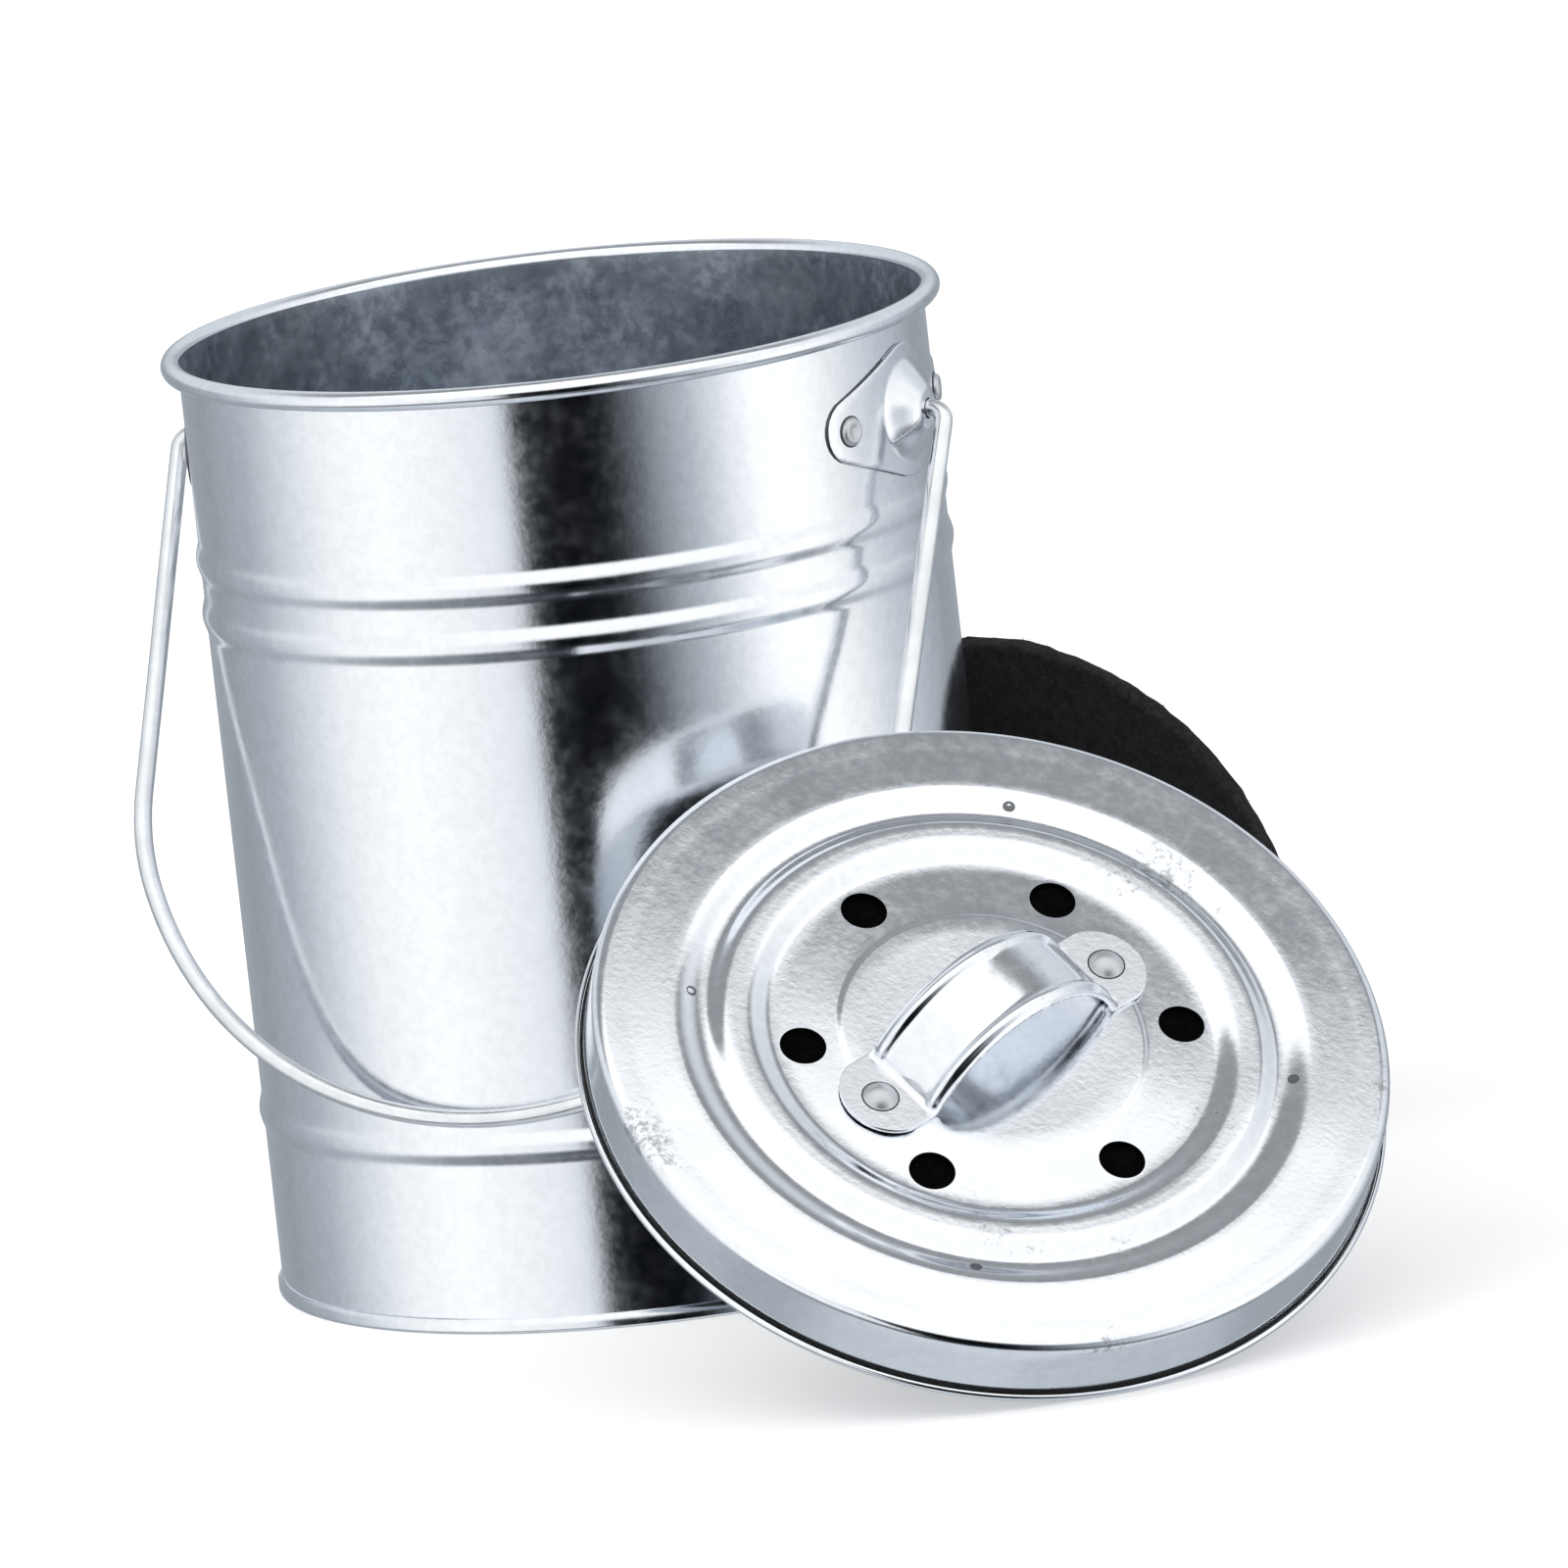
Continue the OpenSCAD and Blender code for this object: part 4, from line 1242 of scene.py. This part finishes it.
def handle_strap(s, lid):
    """The arched strap in its thickness, in its place on the lid."""
    base = DISC_OUT[1] + lid.sheet / 2 + FOOT_GAP + s.strap / 2
    ob = add_object("handle_strap", strap_surface(s, base))
    finish_mesh(ob.data, sharp=80, merge=STRAP_MERGE)
    top = [p for p in ob.data.polygons if p.center.z > base + s.arch * 0.9]
    if sum(p.normal.z for p in top) < 0:
        ob.data.flip_normals()
    thicken(ob, s.strap, offset=0, edge=0.0003)
    ob.data.transform(lid_matrix())
    finish_mesh(ob.data, sharp=46)
    only_finish(ob, "strap_sheet")
    return ob


class CADDY_OT_handle(bpy.types.Operator):
    """Make the ribbed strap handle on the lid"""

    bl_idname = "caddy.handle"
    bl_label = "Lid handle"

    def execute(self, context):
        strap = handle_strap(context.scene.caddy_handle, context.scene.caddy_lid)
        settle(strap, "lid", STEEL, "lid_handle")
        return {"FINISHED"}




# ---------------------------------------------------------------- the filters

# A felt disc's edge radius, the distance from its rim to its flat face, and the radius of the face's middle
FELT_EDGE = 0.0014
FELT_FLAT = 0.0015
FELT_MIDDLE = 0.004
# Steps round a felt disc, and steps across each of its faces
FELT_STEPS = 168
FACE_STEPS = 26
# The ragged edge: the width of its band, how far it is cut back, and its noises as (fineness, depth)
RAGGED_BAND = 0.006
RAGGED_CUT = 0.0004
RAGS = ((160, 0.0005), (420, 0.0004))
# The tufted faces: how far they are pressed in, and their noises as (fineness, depth)
FACE_SINK = 0.0003
TUFTS = ((330, 0.00028), (60, 0.0002))
# Places in the noise that make the fitted disc and the spare one differ, and the seed of the loose fibres
FITTED_SEED = 3
SPARE_SEED = 11
FIBRE_SEED = 16
# Outline of a loose fibre, from root to tip: (step, height, sideways), and its radius at the root
FIBRE = ((0, 0, 0), (1, 0.0005, 0.0001), (2, 0.0009, 0.0004), (3, 0.0011, 0.0009))
FIBRE_RADIUS = 0.00005
# Steps after which a fibre would come to a point
FIBRE_TAPER = 4.5
# Height of the fitted filter's lower face in the lid's frame, and the share of its thickness above which its
# felt is shaded
FITTED_LOW = -0.0072
SHADE_FROM = 0.8
# The spare filter is flattened where it stands: the height of its foot, and the share of its shape left there
FLOOR_GAP = 0.0002
FOOT_PRESS = 0.05


def felt_disc(name, s, seed):
    """A needled felt disc with a ragged edge, in its own frame with its inner face at z = 0."""
    flat, edge_r, top = s.radius - FELT_FLAT, s.radius - FELT_EDGE, s.thickness
    loop = [(0, 0)] + straight((FELT_MIDDLE, 0), (flat, 0), FACE_STEPS)
    loop += arc(edge_r, FELT_EDGE, FELT_EDGE, 270, 360, 4)
    loop += arc(edge_r, top - FELT_EDGE, FELT_EDGE, 0, 90, 4)
    loop += straight((flat, top), (FELT_MIDDLE, top), FACE_STEPS) + [(0, top)]
    ob = turned(name, tidy_path(loop), FELT_STEPS, "black_felt", closed=False)
    finish_mesh(ob.data, sharp=80)

    def unevenness(p, noises, start):
        """Layers of noise at a point, added to a starting depth."""
        return sum((depth * noise.noise(p * fineness) for fineness, depth in noises), start)

    for v in ob.data.vertices:
        p = v.co + Vector((seed, 0, 0))
        r = axis_distance(v.co)
        out = Vector((v.co.x, v.co.y, 0)) / max(r, TOUCH)
        edge = max(0, (r - s.radius + RAGGED_BAND) / RAGGED_BAND)
        v.co += out * edge * (unevenness(p, RAGS, 0) - RAGGED_CUT)
        side = 1 if v.co.z > s.thickness / 2 else -1
        v.co.z -= side * unevenness(p, TUFTS, FACE_SINK)
    ob.data.update()
    return ob


def add_fibres(ob, fibres, seed):
    """Scatters loose fibres over a felt piece."""
    rows = []
    for step, lift, sideways in FIBRE:
        w = FIBRE_RADIUS * (1 - step / FIBRE_TAPER)
        angles = [math.tau * k / 3 for k in range(3)]
        rows.append([(sideways + w * math.cos(a), w * math.sin(a), lift) for a in angles])
    fibre = add_object("fibre", grid_mesh("fibre", rows, True))
    area = sum(p.area for p in ob.data.polygons)
    values = {"Fibre": fibre, "Fibres": fibres, "Seed": seed, "Area": area, "Finish": finish("black_felt")}
    use_tree(ob, fibre_tree(), values)
    bpy.data.objects.remove(fibre)


def fitted_filter(s):
    """The filter under the lid; its upper face gets little light through the vents."""
    ob = felt_disc("filter_in_lid", s, FITTED_SEED)
    second_finish(ob, "shaded_felt", lambda p: p.center.z > s.thickness * SHADE_FROM)
    ob.data.transform(lid_matrix() @ Matrix.Translation((0, 0, FITTED_LOW)))
    ob.data.shade_smooth()
    return ob


def spare_filter(s):
    """The filter that leans on the bucket, with loose fibres and a foot pressed flat."""
    ob = felt_disc("filter_spare", s, SPARE_SEED)
    if s.fibres:
        add_fibres(ob, s.fibres, FIBRE_SEED)
    ob.data.transform(Matrix.Translation(Vector(s.place)) @ lean(s.slope, s.facing, 0).to_4x4())
    low = min(v.co.z for v in ob.data.vertices)
    for v in ob.data.vertices:
        if v.co.z < FLOOR_GAP:
            v.co.z = FLOOR_GAP + (v.co.z - low) * FOOT_PRESS
    ob.data.shade_smooth()
    return ob


class CADDY_OT_filters(bpy.types.Operator):
    """Make the fitted filter under the lid and the spare filter that leans on the bucket"""

    bl_idname = "caddy.filters"
    bl_label = "Filters"

    def execute(self, context):
        fitted = fitted_filter(context.scene.caddy_filter)
        settle(fitted, "lid", FELT, "fitted_filter")
        spare = spare_filter(context.scene.caddy_filter)
        settle(spare, "filter", FELT, "filter_pad")
        return {"FINISHED"}


class CADDY_OT_small_parts(bpy.types.Operator):
    """Finish the wire in the rim and the clips that hold the filter"""

    bl_idname = "caddy.small_parts"
    bl_label = "Rim wire and clips"

    def execute(self, context):
        only_finish(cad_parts["rim_wire"], "bright_wire")
        for k in range(4):
            only_finish(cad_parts[f"filter_clip_{k + 1}"], "ear_sheet")
        return {"FINISHED"}


# ---------------------------------------------------------------- the stage

# The room's walls, sky, skirting and ground, as (degrees round from the camera's side, brightness); the walls
# hold one dark card in front and two bright panels beside it
WALLS = [
    (-180, 0.42), (-144, 0.36), (-116, 0.50), (-97, 0.80), (-81, 1.05), (-60, 1.2), (-40, 1.08), (-24, 0.97),
    (-18.5, 0.9), (-14.5, 0.008), (-4, 0.002), (9, 0.002), (14, 0.012), (21, 0.12), (29, 0.34), (41, 0.60),
    (53, 0.98), (63, 1.25), (78, 1.25), (92, 1.0), (108, 0.72), (128, 0.52), (146, 0.36), (180, 0.42),
]
SKY = [
    (-180, 0.75), (-120, 0.8), (-70, 1.1), (-30, 1.2), (0, 1.2), (40, 1.2), (80, 1.1), (120, 0.8),
    (150, 0.75), (180, 0.75),
]
SKIRTING = [
    (-180, 0.40), (-130, 0.42), (-97, 0.46), (-70, 0.34), (-45, 0.24), (-20, 0.10), (-10, 0.02), (10, 0.02),
    (25, 0.1), (60, 0.28), (100, 0.34), (130, 0.42), (180, 0.40),
]
GROUND = [(-180, 0.5), (-100, 0.6), (-60, 0.75), (0, 0.72), (60, 0.78), (110, 0.6), (180, 0.5)]
# Heights, from -1 straight down to 1 straight up, between which one band of the room gives way to the next
GROUND_TO_SKIRTING = (-0.84, -0.68)
SKIRTING_TO_WALLS = (-0.62, -0.40)
WALLS_TO_SKY = (0.02, 0.28)
SKY_TO_CEILING = (0.62, 0.84)
# The ceiling's brightness across its soft edge, which lies at 0.5, and how far the edge is turned
CEILING = [
    (0.0, 0.45), (0.40, 0.34), (0.480, 0.33), (0.4945, 0.42), (0.500, 0.66), (0.5055, 1.05),
    (0.52, 1.3), (1.0, 1.2),
]
CEILING_TURN = 0.45
# How much bluer the ceiling and the walls turn as they darken, and how much more below a brightness
CEILING_COOL = 0.05
WALL_COOL = 0.10
DARK_COOL = 0.30
DARK = 0.05
# The floor's lines in metres from the middle, its roughness, and the light it adds for the camera alone
FLOOR_LINES = (-9, -3, 0, 3, 9)
FLOOR_ROUGH = 0.9
FLOOR_GLOW = 0.36
# The soft lamp's width and depth, its power and colour, its place and the point it is aimed at
LAMP_SIZE = (2.4, 1.8)
LAMP_POWER = 22
LAMP_COLOUR = (1.0, 0.99, 0.97)
LAMP_PLACE = (-1.3, -1.9, 2.6)
LAMP_AIM = (0.05, -0.05, 0.1)
# The point the camera looks at, on the bucket's axis and then to the right and down in the picture
AIM_HEIGHT = 0.108
AIM_RIGHT = 0.04166
AIM_DOWN = 0.00306
SENSOR = 36.0
CLIP = (0.1, 60.0)


def view_axes(s):
    """The directions right, up and back towards the camera, for an untilted camera."""
    a, e = s.azimuth, s.elevation
    back = Vector((math.cos(e) * math.sin(a), -math.cos(e) * math.cos(a), math.sin(e)))
    right = Vector((math.cos(a), math.sin(a), 0))
    return right, back.cross(right), back


def brightness_ramp(t, position, stops):
    """Colours along a ramp, from (position from 0 to 1, brightness, coolness) stops."""
    node = t.add("ShaderNodeValToRGB", {"Fac": position})
    elements = node.color_ramp.elements
    elements.remove(elements[1])
    for k, (place, level, cool) in enumerate(stops):
        stop = elements[0] if k == 0 else elements.new(place)
        stop.color = (level * (1 - cool), level, level * (1 + cool), 1)
    return node.outputs["Color"]


def wall_band(t, round_, stops):
    """One band of the room, from (degrees, brightness) stops; darker parts are cooler."""
    cooled = []
    for degrees, level in stops:
        cool = WALL_COOL * max(0, 1 - level) ** 0.5 + DARK_COOL * max(0, DARK - level) / DARK
        cooled.append(((degrees + 180) / 360, level, cool))
    return brightness_ramp(t, round_, cooled)


def ceiling(t, direction, s):
    """A bright panel overhead whose soft edge lies where the leaning lid's plate looks."""
    right, _, view = view_axes(s)
    up = lid_up()
    seen = 2 * up.dot(view) * up - view
    lid = bpy.context.scene.caddy_lid
    down = lean(lid.slope, lid.facing, 0) @ Vector((0, -1, 0))
    edge = down - right * CEILING_TURN
    edge = (edge - seen * edge.dot(seen)).normalized()
    beyond = t.add("ShaderNodeVectorMath", {0: direction, 1: edge}, operation="DOT_PRODUCT").outputs["Value"]
    stops = [(place, level, CEILING_COOL * max(0, 1 - level)) for place, level in CEILING]
    return brightness_ramp(t, spread(t, beyond, -1, 1, 0, 1, "LINEAR"), stops)


def studio_world(s):
    """A studio of soft panels and one dark card, seen in reflections; the camera itself sees plain white."""
    world = bpy.data.worlds.new("studio")
    world.use_nodes = True
    bpy.context.scene.world = world
    t = Tree(world.node_tree)
    direction = t.add("ShaderNodeTexCoord").outputs["Generated"]
    height = t.add("ShaderNodeSeparateXYZ", {0: direction}).outputs["Z"]
    feeds = {"Vector": direction, "Rotation": (0, 0, -s.azimuth)}
    turned_round = t.add("ShaderNodeMapping", feeds, vector_type="POINT")
    way = t.add("ShaderNodeSeparateXYZ", {0: turned_round.outputs["Vector"]}).outputs
    angle = t.calculate("ARCTAN2", way["X"], t.calculate("MULTIPLY", way["Y"], -1))
    round_ = spread(t, angle, -math.pi, math.pi, 0, 1, "LINEAR")

    room = wall_band(t, round_, GROUND)
    bands = ((GROUND_TO_SKIRTING, SKIRTING), (SKIRTING_TO_WALLS, WALLS), (WALLS_TO_SKY, SKY))
    for (low, high), stops in bands:
        room = blend(t, spread(t, height, low, high, 0, 1), room, wall_band(t, round_, stops))
    room = blend(t, spread(t, height, *SKY_TO_CEILING, 0, 1), room, ceiling(t, direction, s))

    base, out = t.nodes["Background"], t.nodes["World Output"]
    t.feed(base.inputs["Color"], room)
    t.feed(base.inputs["Strength"], 1.0)
    white = t.add("ShaderNodeBackground", {"Color": (1, 1, 1, 1)})
    path = t.add("ShaderNodeLightPath")
    feeds = {"Fac": path.outputs["Is Camera Ray"], 1: base.outputs[0], 2: white.outputs[0]}
    choose = t.add("ShaderNodeMixShader", feeds)
    t.feed(out.inputs["Surface"], choose.outputs[0])


def floor_finish(colour):
    """A dull floor that looks paler to the camera than to the light."""
    mat, t = material("pale_floor")
    t.feed(t.shader["Base Color"], blend(t, noise_at(t, 6), *tints(colour, 0.995, 1)))
    t.feed(t.shader["Roughness"], FLOOR_ROUGH)
    t.feed(t.shader["Specular IOR Level"], 0.0)
    path = t.add("ShaderNodeLightPath")
    level = t.calculate("MULTIPLY", path.outputs["Is Camera Ray"], FLOOR_GLOW)
    glow = t.add("ShaderNodeEmission", {"Strength": level})
    feeds = {0: t.nodes["Principled BSDF"].outputs[0], 1: glow.outputs[0]}
    both = t.add("ShaderNodeAddShader", feeds)
    t.feed(t.nodes["Material Output"].inputs["Surface"], both.outputs[0])
    return mat


def add_floor(s):
    """The stage's floor, which isn't seen in reflections."""
    rows = [[(x, y, 0) for x in FLOOR_LINES] for y in FLOOR_LINES]
    floor = add_object("stage_floor", grid_mesh("stage_floor", rows))
    floor.data.materials.append(floor_finish(s.floor))
    floor.visible_glossy = False


def add_lamp():
    """The soft lamp, which isn't seen in reflections."""
    data = bpy.data.lights.new("soft_panel", "AREA")
    data.shape = "RECTANGLE"
    data.size, data.size_y = LAMP_SIZE
    data.energy = LAMP_POWER
    data.color = LAMP_COLOUR
    lamp = add_object("soft_panel", data)
    lamp.location = LAMP_PLACE
    lamp.rotation_euler = (Vector(LAMP_AIM) - lamp.location).to_track_quat("-Z", "Y").to_euler()
    lamp.visible_glossy = False


def add_camera(s):
    """The camera, far off with a long lens, and tilted about its own axis."""
    right, up, back = view_axes(s)
    aim = Vector((0, 0, AIM_HEIGHT)) + right * AIM_RIGHT - up * AIM_DOWN
    data = bpy.data.cameras.new("camera")
    data.lens, data.sensor_width = s.lens, SENSOR
    data.clip_start, data.clip_end = CLIP
    camera = add_object("camera", data)
    x = right * math.cos(s.roll) - up * math.sin(s.roll)
    y = right * math.sin(s.roll) + up * math.cos(s.roll)
    turn = Matrix((x, y, back)).transposed().to_4x4()
    camera.matrix_world = Matrix.Translation(aim + back * s.distance) @ turn
    bpy.context.scene.camera = camera


class CADDY_OT_stage(bpy.types.Operator):
    """Set the pale floor, the soft studio light and the camera"""

    bl_idname = "caddy.stage"
    bl_label = "Stage"

    def execute(self, context):
        s = context.scene.caddy_stage
        context.scene.view_settings.view_transform = "Standard"
        studio_world(s)
        add_floor(s)
        add_lamp()
        add_camera(s)
        return {"FINISHED"}


# ---------------------------------------------------------------- panel and registration

SETTINGS = {
    "caddy_bucket": CaddyBucketSettings,
    "caddy_ears": CaddyEarSettings,
    "caddy_bail": CaddyBailSettings,
    "caddy_lid": CaddyLidSettings,
    "caddy_handle": CaddyHandleSettings,
    "caddy_filter": CaddyFilterSettings,
    "caddy_finish": CaddyFinishSettings,
    "caddy_stage": CaddyStageSettings,
}
OPERATORS = (
    CADDY_OT_bucket,
    CADDY_OT_ears,
    CADDY_OT_rivets,
    CADDY_OT_bail,
    CADDY_OT_lid,
    CADDY_OT_handle,
    CADDY_OT_filters,
    CADDY_OT_small_parts,
    CADDY_OT_stage,
)


class CADDY_PT_panel(bpy.types.Panel):
    bl_label = "Compost caddy"
    bl_idname = "CADDY_PT_panel"
    bl_space_type = "VIEW_3D"
    bl_region_type = "UI"
    bl_category = "Caddy"

    def draw(self, context):
        for op in OPERATORS:
            self.layout.operator(op.bl_idname)
        for key, group in SETTINGS.items():
            box = self.layout.box()
            box.label(text=key.split("_")[1].title())
            for name in group.__annotations__:
                box.prop(getattr(context.scene, key), name)


def register():
    for cls in (*SETTINGS.values(), *OPERATORS, CADDY_PT_panel):
        bpy.utils.register_class(cls)
    for key, group in SETTINGS.items():
        setattr(bpy.types.Scene, key, PointerProperty(type=group))


def unregister():
    for key in SETTINGS:
        delattr(bpy.types.Scene, key)
    for cls in reversed((*SETTINGS.values(), *OPERATORS, CADDY_PT_panel)):
        bpy.utils.unregister_class(cls)


def main():
    register()
    bpy.ops.caddy.bucket()
    bpy.ops.caddy.ears()
    bpy.ops.caddy.rivets()
    bpy.ops.caddy.bail()
    bpy.ops.caddy.lid()
    bpy.ops.caddy.handle()
    bpy.ops.caddy.filters()
    bpy.ops.caddy.small_parts()
    bpy.ops.caddy.stage()


if __name__ == "__main__":
    main()
